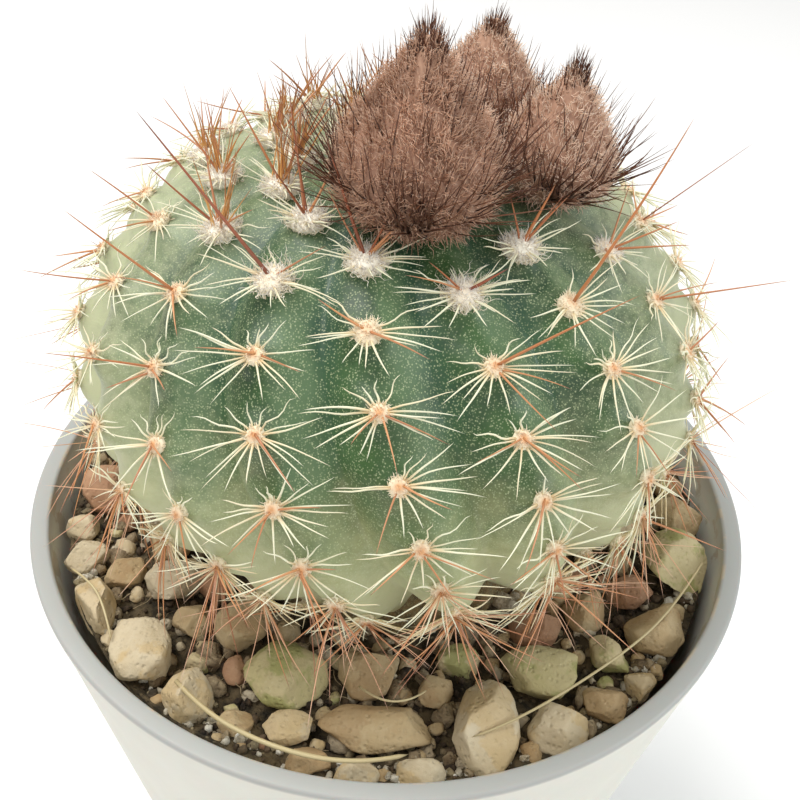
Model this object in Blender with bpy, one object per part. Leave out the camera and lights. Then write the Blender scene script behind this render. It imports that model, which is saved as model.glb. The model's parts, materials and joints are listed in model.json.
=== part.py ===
"""Potted round cactus: a ribbed globe with three woolly buds, in soil and gravel, in a nursery pot.

Metres, +Z up. The origin is the middle of the pot's foot, on the surface that it stands on.
-Y is the front of the plant. Every natural piece is one solid: the stem with its root stock,
each bud, the soil and each stone. They rest in or on each other with a small gap.
"""

import math
import random

import bmesh
import bpy
from mathutils import Matrix, Vector, noise

MM = 0.001
GAP = 0.3 * MM  # between pieces that rest on each other

# Pot: a plain thin-walled nursery pot
POT_RIM_RADIUS = 27.5 * MM
POT_FOOT_RADIUS = 19.0 * MM
POT_HEIGHT = 48.0 * MM
POT_WALL = 1.1 * MM
POT_LIP_WIDTH = 1.4 * MM  # the thicker edge at the top
POT_LIP_HEIGHT = 2.2 * MM
POT_EDGE = 0.35 * MM  # rounding of the lip
POT_BASE_THICKNESS = 1.2 * MM
POT_FOOT_LIFT = 1.0 * MM  # hollow under the base, inside the foot ring
POT_FOOT_RING = 2.4 * MM
POT_STEPS = 72
HOLE_RADIUS = 2.2 * MM
HOLE_CIRCLE = 11.0 * MM
HOLE_COUNT = 5
HOLE_TURN = math.radians(11)

# Soil
SOIL_TOP = POT_HEIGHT - 4.1 * MM
SOIL_DISH = 0.6 * MM  # how much higher the soil lies at the wall than at the stem
SOIL_STEPS = 48
SOCKET_DEPTH = 6.0 * MM

# Stem: a flattened ribbed globe
STEM_RADIUS = 21.1 * MM
STEM_HALF_HEIGHT = 15.4 * MM
STEM_MIDDLE = POT_HEIGHT + 14.1 * MM
STEM_OFFSET = -0.5 * MM  # the plant stands a little left of the pot's axis
RIB_COUNT = 16
RIB_DEPTH = 1.5 * MM
RIB_STEPS = 4  # facets across one rib
RIB_LEAN_MEAN = 0.27  # turn of a rib's crest for each unit of latitude below LEAN_LATITUDE
RIB_LEAN_SWING = 0.22  # how much more that is on the left than in front
LEAN_LATITUDE = math.radians(30)
CROWN_DIMPLE = 1.6 * MM
CROWN_WIDTH = math.radians(22)
LOWEST_LATITUDE = math.radians(-54)
NECK_RADIUS = 12.2 * MM
ROOT_RADIUS = 9.0 * MM
TUBERCLE_STEP = math.radians(13.6)  # latitude between two areoles of a rib
TUBERCLE_SWELL = 0.35 * MM
STEM_RINGS = 20

# Buds: foot on the stem as azimuth (0 is the front, + to the right) and latitude, in degrees
BUD_STEPS = 16
BUD_RINGS = 12
BUDS = (
    # name, azimuth, latitude, height, widest radius, tilt from upright, towards azimuth
    ("flower_bud_front", 10.0, 72.0, 11.4 * MM, 4.7 * MM, 3.0, 10.0),
    ("flower_bud_right", 79.0, 64.0, 8.2 * MM, 3.5 * MM, 7.0, 85.0),
    ("flower_bud_back", 137.0, 71.0, 8.8 * MM, 3.4 * MM, 7.0, 110.0),
)
BUD_FOOT_RADIUS = 1.2 * MM

# Gravel: each stone as its rough place round the pot and its size. Settling spreads them clear.
STONE_SUBDIVISIONS = 2
STONE_ROUGHNESS = 0.16
STONE_UNIT = 1.12 * MM  # the sizes below are of the worn stone, an eighth under its blank
GRAVEL_INNER = 13.5 * MM
GRAVEL_OUTER = 25.4 * MM
SETTLING_ROUNDS = 200
CREAM, TAN, MOSS, RED = "pebble_cream", "pebble_tan", "pebble_moss", "pebble_red"
STONES = (
    # azimuth, distance from the axis, length, width, height (mm), heading, kind
    (19.0, 21.5, 6.6, 4.4, 3.6, 80.0, CREAM),
    (30.0, 23.2, 3.7, 3.3, 3.1, 20.0, CREAM),
    (40.0, 23.6, 3.0, 2.6, 2.5, 0.0, TAN),
    (59.0, 22.9, 4.2, 3.7, 3.4, 40.0, TAN),
    (75.0, 22.8, 4.8, 4.3, 3.8, 70.0, MOSS),
    (35.5, 18.6, 5.4, 3.8, 3.0, 15.0, MOSS),
    (20.0, 16.0, 2.8, 2.5, 2.0, 0.0, MOSS),
    (43.0, 16.9, 3.6, 3.2, 2.6, 30.0, RED),
    (2.5, 20.6, 7.2, 3.4, 2.6, 2.0, TAN),
    (356.5, 16.3, 4.4, 3.8, 2.7, 60.0, TAN),
    (336.0, 18.5, 5.6, 4.6, 2.8, 10.0, MOSS),
    (318.0, 17.1, 4.6, 3.6, 3.6, 70.0, TAN),
    (326.5, 23.1, 3.8, 3.5, 3.2, 30.0, CREAM),
    (314.0, 22.6, 5.4, 4.0, 3.5, 110.0, CREAM),
    (301.5, 23.6, 4.6, 2.6, 3.0, 120.0, CREAM),
    (305.0, 19.4, 4.0, 3.3, 3.0, 20.0, CREAM),
    (289.5, 23.6, 3.0, 2.6, 2.6, 20.0, CREAM),
    (281.5, 23.9, 2.4, 2.2, 2.2, 0.0, CREAM),
    (290.0, 18.6, 4.0, 3.4, 3.0, 80.0, TAN),
    (271.0, 22.8, 4.4, 3.9, 3.4, 90.0, RED),
    (7.0, 24.1, 3.3, 2.0, 2.2, 5.0, CREAM),
    (357.5, 24.2, 2.6, 1.8, 2.0, 0.0, CREAM),
    (347.0, 23.5, 3.0, 2.3, 2.2, 10.0, TAN),
    (60.0, 18.2, 3.6, 3.0, 2.4, 50.0, TAN),
    (93.0, 22.9, 4.4, 3.8, 3.6, 100.0, TAN),
    (86.0, 18.4, 3.2, 2.8, 2.4, 60.0, CREAM),
    (110.0, 22.6, 4.8, 4.2, 3.6, 20.0, TAN),
    (104.0, 18.2, 3.4, 2.8, 2.4, 0.0, RED),
    (127.0, 23.0, 4.2, 3.6, 3.2, 50.0, CREAM),
    (124.0, 18.4, 3.6, 3.0, 2.6, 100.0, TAN),
    (144.0, 22.6, 5.2, 3.8, 3.2, 55.0, MOSS),
    (146.0, 17.9, 3.4, 2.8, 2.4, 20.0, CREAM),
    (161.0, 23.0, 3.8, 3.4, 3.0, 0.0, CREAM),
    (168.0, 18.6, 4.4, 3.4, 2.8, 80.0, TAN),
    (177.0, 23.2, 3.6, 3.0, 2.8, 10.0, RED),
    (192.0, 22.8, 4.6, 3.6, 3.4, 170.0, CREAM),
    (189.0, 18.2, 3.6, 2.8, 2.4, 90.0, MOSS),
    (208.0, 22.8, 4.4, 3.8, 3.2, 30.0, TAN),
    (209.0, 18.2, 3.8, 3.2, 2.6, 130.0, CREAM),
    (225.0, 23.0, 4.2, 3.4, 3.0, 140.0, CREAM),
    (230.0, 18.4, 4.2, 3.2, 2.6, 60.0, TAN),
    (241.0, 22.9, 3.8, 3.4, 3.2, 60.0, TAN),
    (251.0, 18.4, 3.8, 3.2, 2.6, 150.0, MOSS),
    (256.0, 22.9, 4.2, 3.6, 3.2, 80.0, CREAM),
    (271.0, 18.4, 3.6, 3.0, 2.6, 20.0, CREAM),
    (50.0, 22.0, 3.0, 2.4, 2.2, 120.0, MOSS),
    (48.0, 23.8, 2.4, 2.0, 2.0, 40.0, CREAM),
    (68.0, 20.2, 3.0, 2.6, 2.4, 10.0, RED),
    (13.0, 18.2, 2.6, 2.2, 1.8, 45.0, TAN),
    (346.0, 21.2, 3.0, 2.2, 2.0, 20.0, CREAM),
    (334.0, 22.6, 2.4, 2.0, 1.8, 60.0, TAN),
    (312.0, 19.6, 2.8, 2.4, 2.2, 90.0, TAN),
    (296.0, 20.9, 2.8, 2.2, 2.2, 35.0, TAN),
    (101.0, 20.6, 2.8, 2.4, 2.2, 80.0, CREAM),
)

MATERIALS = {
    # name: colour, roughness
    "pot_plastic": ((0.74, 0.75, 0.72), 0.38),
    "potting_soil": ((0.035, 0.024, 0.016), 0.95),
    "cactus_skin": ((0.05, 0.17, 0.07), 0.42),
    "bud_wool": ((0.42, 0.22, 0.16), 0.9),
    CREAM: ((0.66, 0.57, 0.40), 0.8),
    TAN: ((0.46, 0.33, 0.19), 0.82),
    MOSS: ((0.36, 0.34, 0.15), 0.85),
    RED: ((0.30, 0.15, 0.09), 0.84),
}


def clear_scene():
    """Removes every object, so that the file holds only this model."""
    for old in list(bpy.data.objects):
        bpy.data.objects.remove(old, do_unlink=True)


def make_materials():
    """One Principled BSDF for each finish of the object."""
    made = {}
    for name, (colour, roughness) in MATERIALS.items():
        material = bpy.data.materials.new(name)
        material.use_nodes = True
        shader = material.node_tree.nodes["Principled BSDF"]
        shader.inputs["Base Color"].default_value = (*colour, 1.0)
        shader.inputs["Roughness"].default_value = roughness
        material.diffuse_color = (*colour, 1.0)
        made[name] = material
    return made


def add_object(name, bm, material, place=None):
    """Puts a bmesh into the scene as one smooth-shaded object."""
    bmesh.ops.recalc_face_normals(bm, faces=bm.faces)
    mesh = bpy.data.meshes.new(name)
    bm.to_mesh(mesh)
    bm.free()
    mesh.materials.append(material)
    mesh.shade_smooth()
    mesh.set_sharp_from_angle(angle=math.radians(40))
    made = bpy.data.objects.new(name, mesh)
    if place is not None:
        made.matrix_world = place
    bpy.context.collection.objects.link(made)
    return made


def skin_rings(bm, rings):
    """Joins neighbouring rings of vertices with quads. A ring of one vertex is a pole."""
    for low, high in zip(rings, rings[1:]):
        count = max(len(low), len(high))
        for i in range(count):
            j = (i + 1) % count
            if len(low) == 1:
                bm.faces.new((low[0], high[j], high[i]))
            elif len(high) == 1:
                bm.faces.new((low[i], low[j], high[0]))
            else:
                bm.faces.new((low[i], low[j], high[j], high[i]))


def ring(bm, radius, z, steps):
    """A level circle of vertices about the Z axis, or one vertex where the radius is 0."""
    if radius == 0:
        return [bm.verts.new((0.0, 0.0, z))]
    turns = (2 * math.pi * i / steps for i in range(steps))
    return [bm.verts.new((radius * math.sin(t), -radius * math.cos(t), z)) for t in turns]


def pot_radius(z):
    """The outer radius of the pot's tapered wall at a height."""
    return POT_FOOT_RADIUS + (POT_RIM_RADIUS - POT_FOOT_RADIUS) * z / POT_HEIGHT


def make_pot(material):
    """The tapered shell with its lip, foot ring and drainage holes."""
    lip_inner = POT_RIM_RADIUS - POT_LIP_WIDTH
    lip_bottom = POT_HEIGHT - POT_LIP_HEIGHT
    floor_top = POT_FOOT_LIFT + POT_BASE_THICKNESS
    profile = (
        (0.0, POT_FOOT_LIFT),
        (POT_FOOT_RADIUS - POT_FOOT_RING - POT_FOOT_LIFT, POT_FOOT_LIFT),
        (POT_FOOT_RADIUS - POT_FOOT_RING, 0.0),
        (POT_FOOT_RADIUS - POT_EDGE, 0.0),
        (pot_radius(POT_EDGE), POT_EDGE),
        (pot_radius(POT_HEIGHT) - POT_EDGE * 0.2, POT_HEIGHT - POT_EDGE),
        (POT_RIM_RADIUS - POT_EDGE, POT_HEIGHT),
        (lip_inner + POT_EDGE, POT_HEIGHT),
        (lip_inner, POT_HEIGHT - POT_EDGE),
        (lip_inner, lip_bottom),
        (pot_radius(lip_bottom - POT_EDGE) - POT_WALL, lip_bottom - POT_EDGE),
        (pot_radius(floor_top) - POT_WALL - POT_EDGE, floor_top + POT_EDGE),
        (pot_radius(floor_top) - POT_WALL - 2 * POT_EDGE, floor_top),
        (0.0, floor_top),
    )
    bm = bmesh.new()
    skin_rings(bm, [ring(bm, radius, z, POT_STEPS) for radius, z in profile])
    pot = add_object("pot", bm, material)
    for i in range(HOLE_COUNT):
        turn = HOLE_TURN + 2 * math.pi * i / HOLE_COUNT
        drill = bmesh.new()
        bmesh.ops.create_cone(
            drill,
            cap_ends=True,
            segments=16,
            radius1=HOLE_RADIUS,
            radius2=HOLE_RADIUS,
            depth=4 * POT_BASE_THICKNESS,
        )
        place = Matrix.Translation((HOLE_CIRCLE * math.cos(turn), HOLE_CIRCLE * math.sin(turn), floor_top))
        cutter = add_object(f"drain_cutter_{i + 1}", drill, material, place)
        cutter.hide_render = True
        cutter.display_type = "WIRE"
        cut = pot.modifiers.new(f"drain_hole_{i + 1}", "BOOLEAN")
        cut.operation = "DIFFERENCE"
        cut.object = cutter
    return pot


def soil_height(radius):
    """The soil's top surface: slightly dished towards the stem."""
    share = (radius - NECK_RADIUS) / (POT_RIM_RADIUS - NECK_RADIUS)
    return SOIL_TOP + SOIL_DISH * max(0.0, min(1.0, share)) ** 2


def make_soil(material):
    """The plug of soil that fills the pot, with the hollow that the root stock sits in."""
    bottom = POT_FOOT_LIFT + POT_BASE_THICKNESS + GAP
    wall_clearance = POT_WALL + GAP
    outer = pot_radius(SOIL_TOP) - wall_clearance - POT_EDGE
    socket_edge = NECK_RADIUS + GAP
    socket_floor = SOIL_TOP - SOCKET_DEPTH - GAP
    top_rings = 4
    profile = [
        (0.0, bottom),
        (pot_radius(bottom) - wall_clearance - 2 * POT_EDGE - GAP, bottom),
        (outer, soil_height(outer)),
    ]
    for i in range(1, top_rings):
        radius = outer + (socket_edge - outer) * i / top_rings
        profile.append((radius, soil_height(radius)))
    profile += [
        (socket_edge, SOIL_TOP),
        (ROOT_RADIUS + GAP, socket_floor),
        (0.0, socket_floor),
    ]
    bm = bmesh.new()
    skin_rings(bm, [ring(bm, radius, z, SOIL_STEPS) for radius, z in profile])
    return add_object("soil", bm, material)


def rib_azimuth(rib, latitude):
    """The azimuth of a rib's crest, which leans as it runs from the crown to the root."""
    middle = 2 * math.pi * rib / RIB_COUNT
    lean = RIB_LEAN_MEAN - RIB_LEAN_SWING * math.sin(middle)
    return middle + lean * (LEAN_LATITUDE - latitude)


def areole_shift(rib):
    """Where a rib's row of areoles starts, as a part of one step: neighbours alternate."""
    return 0.5 * (rib % 2) + 0.16 * math.sin(2.4 * rib)


def lean_ring(bm, radius, z):
    """A level circle whose vertices lie under those of the stem's lowest ribbed ring."""
    turns = (rib_azimuth(i / RIB_STEPS, LOWEST_LATITUDE) for i in range(RIB_COUNT * RIB_STEPS))
    return [bm.verts.new((radius * math.sin(t), -radius * math.cos(t), z)) for t in turns]


def stem_point(rib, latitude):
    """A point of the stem's skin. A whole number of ribs is a crest, a half is a furrow."""
    azimuth = rib_azimuth(rib, latitude)
    crest = abs(math.cos(math.pi * rib)) ** 1.3
    fade = max(0.0, math.cos(latitude)) ** 0.5
    row = (latitude / TUBERCLE_STEP - areole_shift(round(rib) % RIB_COUNT)) * 2 * math.pi
    swell = TUBERCLE_SWELL * crest * fade * (0.5 + 0.5 * math.cos(row))
    drop = RIB_DEPTH * fade * (1.0 - crest)
    radius = STEM_RADIUS * math.cos(latitude) - drop + swell
    over_crown = (math.pi / 2 - latitude) / CROWN_WIDTH
    height = STEM_MIDDLE + STEM_HALF_HEIGHT * math.sin(latitude)
    height -= CROWN_DIMPLE * math.exp(-(over_crown**2))
    return Vector((STEM_OFFSET + radius * math.sin(azimuth), -radius * math.cos(azimuth), height))


def make_stem(material):
    """The ribbed globe and the root stock under it, as the one piece that it grew as."""
    steps = RIB_COUNT * RIB_STEPS
    bm = bmesh.new()
    rings = [[bm.verts.new((0.0, 0.0, SOIL_TOP - SOCKET_DEPTH))]]
    rings.append(lean_ring(bm, ROOT_RADIUS - GAP, SOIL_TOP - SOCKET_DEPTH))
    rings.append(lean_ring(bm, NECK_RADIUS, SOIL_TOP))
    for k in range(STEM_RINGS):
        latitude = LOWEST_LATITUDE + (math.pi / 2 - LOWEST_LATITUDE) * k / STEM_RINGS
        points = (stem_point(i / RIB_STEPS, latitude) for i in range(steps))
        rings.append([bm.verts.new(point) for point in points])
    rings.append([bm.verts.new((STEM_OFFSET, 0.0, rings[-1][0].co.z))])
    skin_rings(bm, rings)
    return add_object("cactus_stem", bm, material)


def bud_radius(t):
    """The outline of a bud, from foot (0) to tip (1), as a share of its widest radius."""
    return 1.16 * math.sin(math.pi * t**0.62) ** 0.72 * (1.0 - 0.35 * t)


def make_bud(name, azimuth, latitude, height, radius, tilt, towards, material):
    """A woolly bud that stands on the crown, its narrow foot just clear of the skin."""
    bm = bmesh.new()
    rings = [[bm.verts.new((0.0, 0.0, 0.0))], ring(bm, BUD_FOOT_RADIUS, 0.0, BUD_STEPS)]
    for k in range(1, BUD_RINGS):
        t = k / BUD_RINGS
        belly = max(radius * bud_radius(t), BUD_FOOT_RADIUS * (1.0 - t))
        rings.append(ring(bm, belly, height * t, BUD_STEPS))
    rings.append([bm.verts.new((0.0, 0.0, height))])
    skin_rings(bm, rings)
    turn, rise = math.radians(azimuth), math.radians(latitude)
    reach = STEM_RADIUS * math.cos(rise)
    over_crown = (math.pi / 2 - rise) / CROWN_WIDTH
    top = STEM_MIDDLE + STEM_HALF_HEIGHT * math.sin(rise)
    top -= CROWN_DIMPLE * math.exp(-(over_crown**2))
    foot = Vector((STEM_OFFSET + reach * math.sin(turn), -reach * math.cos(turn), top + 2 * GAP))
    side = math.radians(towards)
    axis = Vector((math.cos(side), math.sin(side), 0.0))
    place = Matrix.Translation(foot) @ Matrix.Rotation(math.radians(tilt), 4, axis)
    return add_object(name, bm, material, place)


def stone_spine(place, length, width, heading):
    """The two ends of the level line that a stone's rounded outline is drawn about."""
    half = Vector((math.cos(heading), math.sin(heading))) * (length - width) / 2
    return place - half, place + half


def nearest_points(first, second):
    """The closest points of two line segments in the plane, by trying each end on the other."""
    best = None
    for ends, line, swapped in ((first, second, False), (second, first, True)):
        run = line[1] - line[0]
        for end in ends:
            share = 0.0 if run.length == 0 else (end - line[0]).dot(run) / run.length_squared
            foot = line[0] + run * max(0.0, min(1.0, share))
            pair = (foot, end) if swapped else (end, foot)
            if best is None or (end - foot).length < (best[0] - best[1]).length:
                best = pair
    return best


def settle_stones():
    """Each stone's place on the soil, moved until all lie clear of each other, stem and pot."""
    places, spans = [], []
    for azimuth, distance, length, width, _height, heading, _kind in STONES:
        turn = math.radians(azimuth)
        places.append(Vector((math.sin(turn), -math.cos(turn))) * distance * MM)
        spans.append((length * STONE_UNIT, width * STONE_UNIT, math.radians(heading)))
    for _round in range(SETTLING_ROUNDS):
        for i, here in enumerate(places):
            for j in range(i):
                near, far = nearest_points(
                    stone_spine(here, *spans[i]), stone_spine(places[j], *spans[j])
                )
                apart = near - far
                overlap = (spans[i][1] + spans[j][1]) / 2 + GAP - apart.length
                if overlap > 0:
                    push = apart.normalized() * overlap * 0.5
                    here += push
                    places[j] -= push
            for end in stone_spine(here, *spans[i]):
                reach = end.length
                limit = GRAVEL_OUTER - spans[i][1] / 2
                start = GRAVEL_INNER + spans[i][1] / 2
                here += end.normalized() * (max(start, min(limit, reach)) - reach)
    return places


def make_stone(number, place, length, width, height, heading, material):
    """A water-worn stone of irregular shape, lying on the soil."""
    source = random.Random(number)
    drift = Vector((source.uniform(-50, 50), source.uniform(-50, 50), source.uniform(-50, 50)))
    bm = bmesh.new()
    bmesh.ops.create_icosphere(bm, subdivisions=STONE_SUBDIVISIONS, radius=0.5)
    for vert in bm.verts:
        lump = noise.noise(vert.co * 2.2 + drift)
        vert.co *= 1.0 - STONE_ROUGHNESS * (0.5 + 0.5 * max(-1.0, min(1.0, 1.6 * lump)))
        vert.co.z = max(vert.co.z, -0.36)
    size = Vector((length, width, height)) * STONE_UNIT
    for vert in bm.verts:
        vert.co = Vector((vert.co.x * size.x, vert.co.y * size.y, vert.co.z * size.z))
    lowest = min(vert.co.z for vert in bm.verts)
    ground = soil_height(place.length + 0.25 * size.y)
    foot = Vector((place.x, place.y, ground + GAP - lowest))
    pose = Matrix.Translation(foot) @ Matrix.Rotation(math.radians(heading), 4, "Z")
    return add_object(f"pebble_{number:02d}", bm, material, pose)


def main():
    """Builds the pot, what fills it and what grows in it."""
    clear_scene()
    materials = make_materials()
    make_pot(materials["pot_plastic"])
    make_soil(materials["potting_soil"])
    make_stem(materials["cactus_skin"])
    for name, azimuth, latitude, height, radius, tilt, towards in BUDS:
        make_bud(name, azimuth, latitude, height, radius, tilt, towards, materials["bud_wool"])
    for number, (place, stone) in enumerate(zip(settle_stones(), STONES), start=1):
        _azimuth, _distance, *sizes, kind = stone
        make_stone(number, place, *sizes, materials[kind])


main()
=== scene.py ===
"""The looks of a potted round cactus with three woolly buds, in soil and gravel in a nursery pot.

Each sub-assembly is a class that holds its sizes, builds its meshes in metres around the fixed
frame, and dresses them. Azimuths are measured from the front of the plant, + to its right.
"""

from __future__ import annotations

import json
import logging
import math
from dataclasses import dataclass, field
from enum import Enum

import bmesh
import bpy
import numpy as np
from mathutils import Matrix, Vector, noise


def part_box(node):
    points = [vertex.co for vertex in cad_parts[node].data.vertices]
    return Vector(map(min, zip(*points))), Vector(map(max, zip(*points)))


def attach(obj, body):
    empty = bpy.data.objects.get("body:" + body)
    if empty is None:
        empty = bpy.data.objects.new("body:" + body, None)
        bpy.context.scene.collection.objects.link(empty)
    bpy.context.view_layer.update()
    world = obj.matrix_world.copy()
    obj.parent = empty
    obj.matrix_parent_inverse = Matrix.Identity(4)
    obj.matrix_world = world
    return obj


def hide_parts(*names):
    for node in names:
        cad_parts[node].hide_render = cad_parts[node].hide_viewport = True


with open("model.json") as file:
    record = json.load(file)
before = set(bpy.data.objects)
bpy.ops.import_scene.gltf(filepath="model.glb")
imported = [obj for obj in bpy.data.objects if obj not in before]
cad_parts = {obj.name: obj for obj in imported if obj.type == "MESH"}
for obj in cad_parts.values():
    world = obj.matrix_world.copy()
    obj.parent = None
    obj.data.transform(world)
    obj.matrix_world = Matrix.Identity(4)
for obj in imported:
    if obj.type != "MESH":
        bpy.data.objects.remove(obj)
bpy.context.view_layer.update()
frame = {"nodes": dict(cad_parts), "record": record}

LOG = logging.getLogger("cactus")
MM = 0.001
BODY = "root"
Colour = tuple[float, float, float]
Array = np.ndarray
Rng = np.random.Generator
Socket = bpy.types.NodeSocket
Material = bpy.types.Material
Finishes = dict[str, Material]


class Stone(Enum):
    """The kinds of stone in the gravel, by the record's material slot."""

    CREAM = "pebble_cream"
    TAN = "pebble_tan"
    MOSS = "pebble_moss"
    RED = "pebble_red"


# ---------------------------------------------------------------- shader graphs


class Graph:
    """Adds and joins the nodes of one shader tree."""

    def __init__(self, tree: bpy.types.NodeTree) -> None:
        """Takes the tree to work in.

        Args:
            tree: the node tree of a material, a world or a group.
        """
        self.tree = tree

    def node(self, kind: str, inputs: dict | None = None, **settings: object) -> bpy.types.Node:
        """Adds one node.

        Args:
            kind: the node's type.
            inputs: for each input by name or index, a constant or the socket that feeds it.
            settings: the node's own properties.

        Returns:
            The new node.
        """
        made = self.tree.nodes.new(kind)
        for key, value in settings.items():
            setattr(made, key, value)
        for key, value in (inputs or {}).items():
            self.feed(made.inputs[key], value)
        return made

    def feed(self, socket: Socket, value: object) -> None:
        """Sets a socket to a constant, or links it to the socket given."""
        if isinstance(value, Socket):
            self.tree.links.new(value, socket)
        elif socket.type == "RGBA" and len(value) == 3:
            socket.default_value = (*value, 1.0)
        else:
            socket.default_value = value

    def attribute(self, name: str) -> Socket:
        """The value that a mesh stores under a name, as a factor."""
        return self.node("ShaderNodeAttribute", attribute_name=name).outputs["Fac"]

    def mix(self, factor: object, first: object, second: object) -> Socket:
        """Blends two colours: the first at factor 0, the second at 1."""
        made = self.node("ShaderNodeMix", data_type="RGBA")
        for index, value in ((0, factor), (6, first), (7, second)):
            self.feed(made.inputs[index], value)
        return made.outputs[2]

    def math(self, operation: str, *values: object) -> Socket:
        """One arithmetic step, with its result kept as it is."""
        inputs = dict(enumerate(values))
        return self.node("ShaderNodeMath", inputs, operation=operation).outputs[0]

    def times(self, first: object, second: object) -> Socket:
        """The product of two values."""
        return self.math("MULTIPLY", first, second)

    def remap(
        self, value: object, low: float, high: float, out_low: float = 0.0, out_high: float = 1.0
    ) -> Socket:
        """Maps a range of values smoothly onto another, held at its ends."""
        inputs = {0: value, 1: low, 2: high, 3: out_low, 4: out_high}
        return self.node("ShaderNodeMapRange", inputs, interpolation_type="SMOOTHSTEP").outputs[0]

    def ramp(self, factor: object, stops: tuple[tuple[float, Colour], ...]) -> Socket:
        """Colours a factor by a row of stops, each a place and a colour."""
        made = self.node("ShaderNodeValToRGB", {0: factor})
        points = made.color_ramp.elements
        while len(points) < len(stops):
            points.new(1.0)
        for point, (place, colour) in zip(points, stops):
            point.position = place
            point.color = (*colour, 1.0)
        return made.outputs[0]

    def place(self) -> Socket:
        """The place on the piece, in metres."""
        return self.node("ShaderNodeTexCoord").outputs["Object"]

    def group(self, tree: bpy.types.NodeTree, **inputs: object) -> bpy.types.Node:
        """Places a shared effect with this material's own values."""
        made = self.node("ShaderNodeGroup", node_tree=tree)
        for key, value in inputs.items():
            self.feed(made.inputs[key.replace("_", " ").title()], value)
        return made


class Effects:
    """The effects that several finishes share, each a node group built once."""

    def __init__(self) -> None:
        """Builds the groups."""
        self.mottle = self._make_mottle()
        self.speckle = self._make_speckle()
        self.grain = self._make_grain()

    @staticmethod
    def _start(name: str, inputs: dict[str, float], output: str) -> tuple[Graph, object, object]:
        """Makes a group with float inputs and one float output.

        Args:
            name: the group's name.
            inputs: each input's name and usual value.
            output: the output's name.

        Returns:
            The group's graph, its input node and its output node.
        """
        tree = bpy.data.node_groups.new(name, "ShaderNodeTree")
        for label, usual in inputs.items():
            socket = tree.interface.new_socket(label, in_out="INPUT", socket_type="NodeSocketFloat")
            socket.default_value = usual
        tree.interface.new_socket(output, in_out="OUTPUT", socket_type="NodeSocketFloat")
        graph = Graph(tree)
        return graph, graph.node("NodeGroupInput"), graph.node("NodeGroupOutput")

    def _make_mottle(self) -> bpy.types.NodeTree:
        """Soft uneven patches, from 0 to 1: scale in patches to the metre, and how hard they are."""
        graph, given, result = self._start("mottle", {"Scale": 200.0, "Contrast": 0.5}, "Patch")
        clouds = graph.node(
            "ShaderNodeTexNoise",
            {"Vector": graph.place(), "Scale": given.outputs["Scale"], "Detail": 5.0, "Roughness": 0.6},
        )
        off = graph.math("SUBTRACT", clouds.outputs[0], 0.5)
        gain = graph.math("MULTIPLY_ADD", given.outputs["Contrast"], 4.0, 1.0)
        spread = graph.math("MULTIPLY_ADD", off, gain, 0.5)
        graph.feed(result.inputs[0], graph.node("ShaderNodeClamp", {0: spread}).outputs[0])
        return graph.tree

    def _make_speckle(self) -> bpy.types.NodeTree:
        """Small round flecks: how many to the metre, their size, and how many of them are there."""
        usual = {"Scale": 4000.0, "Size": 0.25, "Share": 0.5}
        graph, given, result = self._start("speckle", usual, "Fleck")
        cells = graph.node(
            "ShaderNodeTexVoronoi", {"Vector": graph.place(), "Scale": given.outputs["Scale"]}
        )
        near = graph.math("DIVIDE", cells.outputs["Distance"], given.outputs["Size"])
        dot = graph.math("SUBTRACT", 1.0, graph.math("POWER", near, 3.0))
        dot = graph.node("ShaderNodeClamp", {0: dot}).outputs[0]
        luck = graph.node("ShaderNodeSeparateColor", {0: cells.outputs["Color"]})
        kept = graph.math("LESS_THAN", luck.outputs[0], given.outputs["Share"])
        strength = graph.math("MULTIPLY_ADD", luck.outputs[1], 0.7, 0.3)
        shown = graph.times(graph.times(dot, kept), strength)
        graph.feed(result.inputs[0], shown)
        return graph.tree

    def _make_grain(self) -> bpy.types.NodeTree:
        """The height of a fine rough surface: coarse lumps with small pits on them."""
        graph, given, result = self._start("grain", {"Scale": 1500.0, "Pits": 0.4}, "Height")
        where = graph.place()
        coarse = graph.node(
            "ShaderNodeTexNoise",
            {"Vector": where, "Scale": given.outputs["Scale"], "Detail": 6.0, "Roughness": 0.65},
        )
        pit_scale = graph.times(given.outputs["Scale"], 1.7)
        pits = graph.node("ShaderNodeTexVoronoi", {"Vector": where, "Scale": pit_scale})
        hollow = graph.remap(pits.outputs["Distance"], 0.0, 0.45, 1.0, 0.0)
        depth = graph.times(hollow, given.outputs["Pits"])
        graph.feed(result.inputs[0], graph.math("SUBTRACT", coarse.outputs[0], depth))
        return graph.tree


# ---------------------------------------------------------------- finishes


class Painter(Graph):
    """The graph of one new material, with the shared effects at hand."""

    def __init__(self, name: str, effects: Effects) -> None:
        """Starts the material.

        Args:
            name: the finish's name.
            effects: the shared node groups.
        """
        self.material = bpy.data.materials.new(name)
        self.material.use_nodes = True
        super().__init__(self.material.node_tree)
        self.shader = self.tree.nodes["Principled BSDF"]
        self.effects = effects

    def mottle(self, scale: float, contrast: float) -> Socket:
        """Soft patches, so many to the metre and so hard."""
        return self.group(self.effects.mottle, scale=scale, contrast=contrast).outputs[0]

    def speckle(self, scale: float, size: float, share: float) -> Socket:
        """Flecks, so many to the metre, so large and so many of them there."""
        return self.group(self.effects.speckle, scale=scale, size=size, share=share).outputs[0]

    def grain(self, scale: float, pits: float) -> Socket:
        """The height of a rough surface with pits so deep."""
        return self.group(self.effects.grain, scale=scale, pits=pits).outputs[0]

    def bump(self, height: Socket, strength: float, distance: float) -> None:
        """Lets a height tilt the surface."""
        inputs = {"Height": height, "Strength": strength, "Distance": distance}
        self.set(normal=self.node("ShaderNodeBump", inputs).outputs[0])

    def set(self, **inputs: object) -> None:
        """Sets inputs of the shader, each to a constant or to the socket that feeds it."""
        for key, value in inputs.items():
            self.feed(self.shader.inputs[key.replace("_", " ").title()], value)


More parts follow.
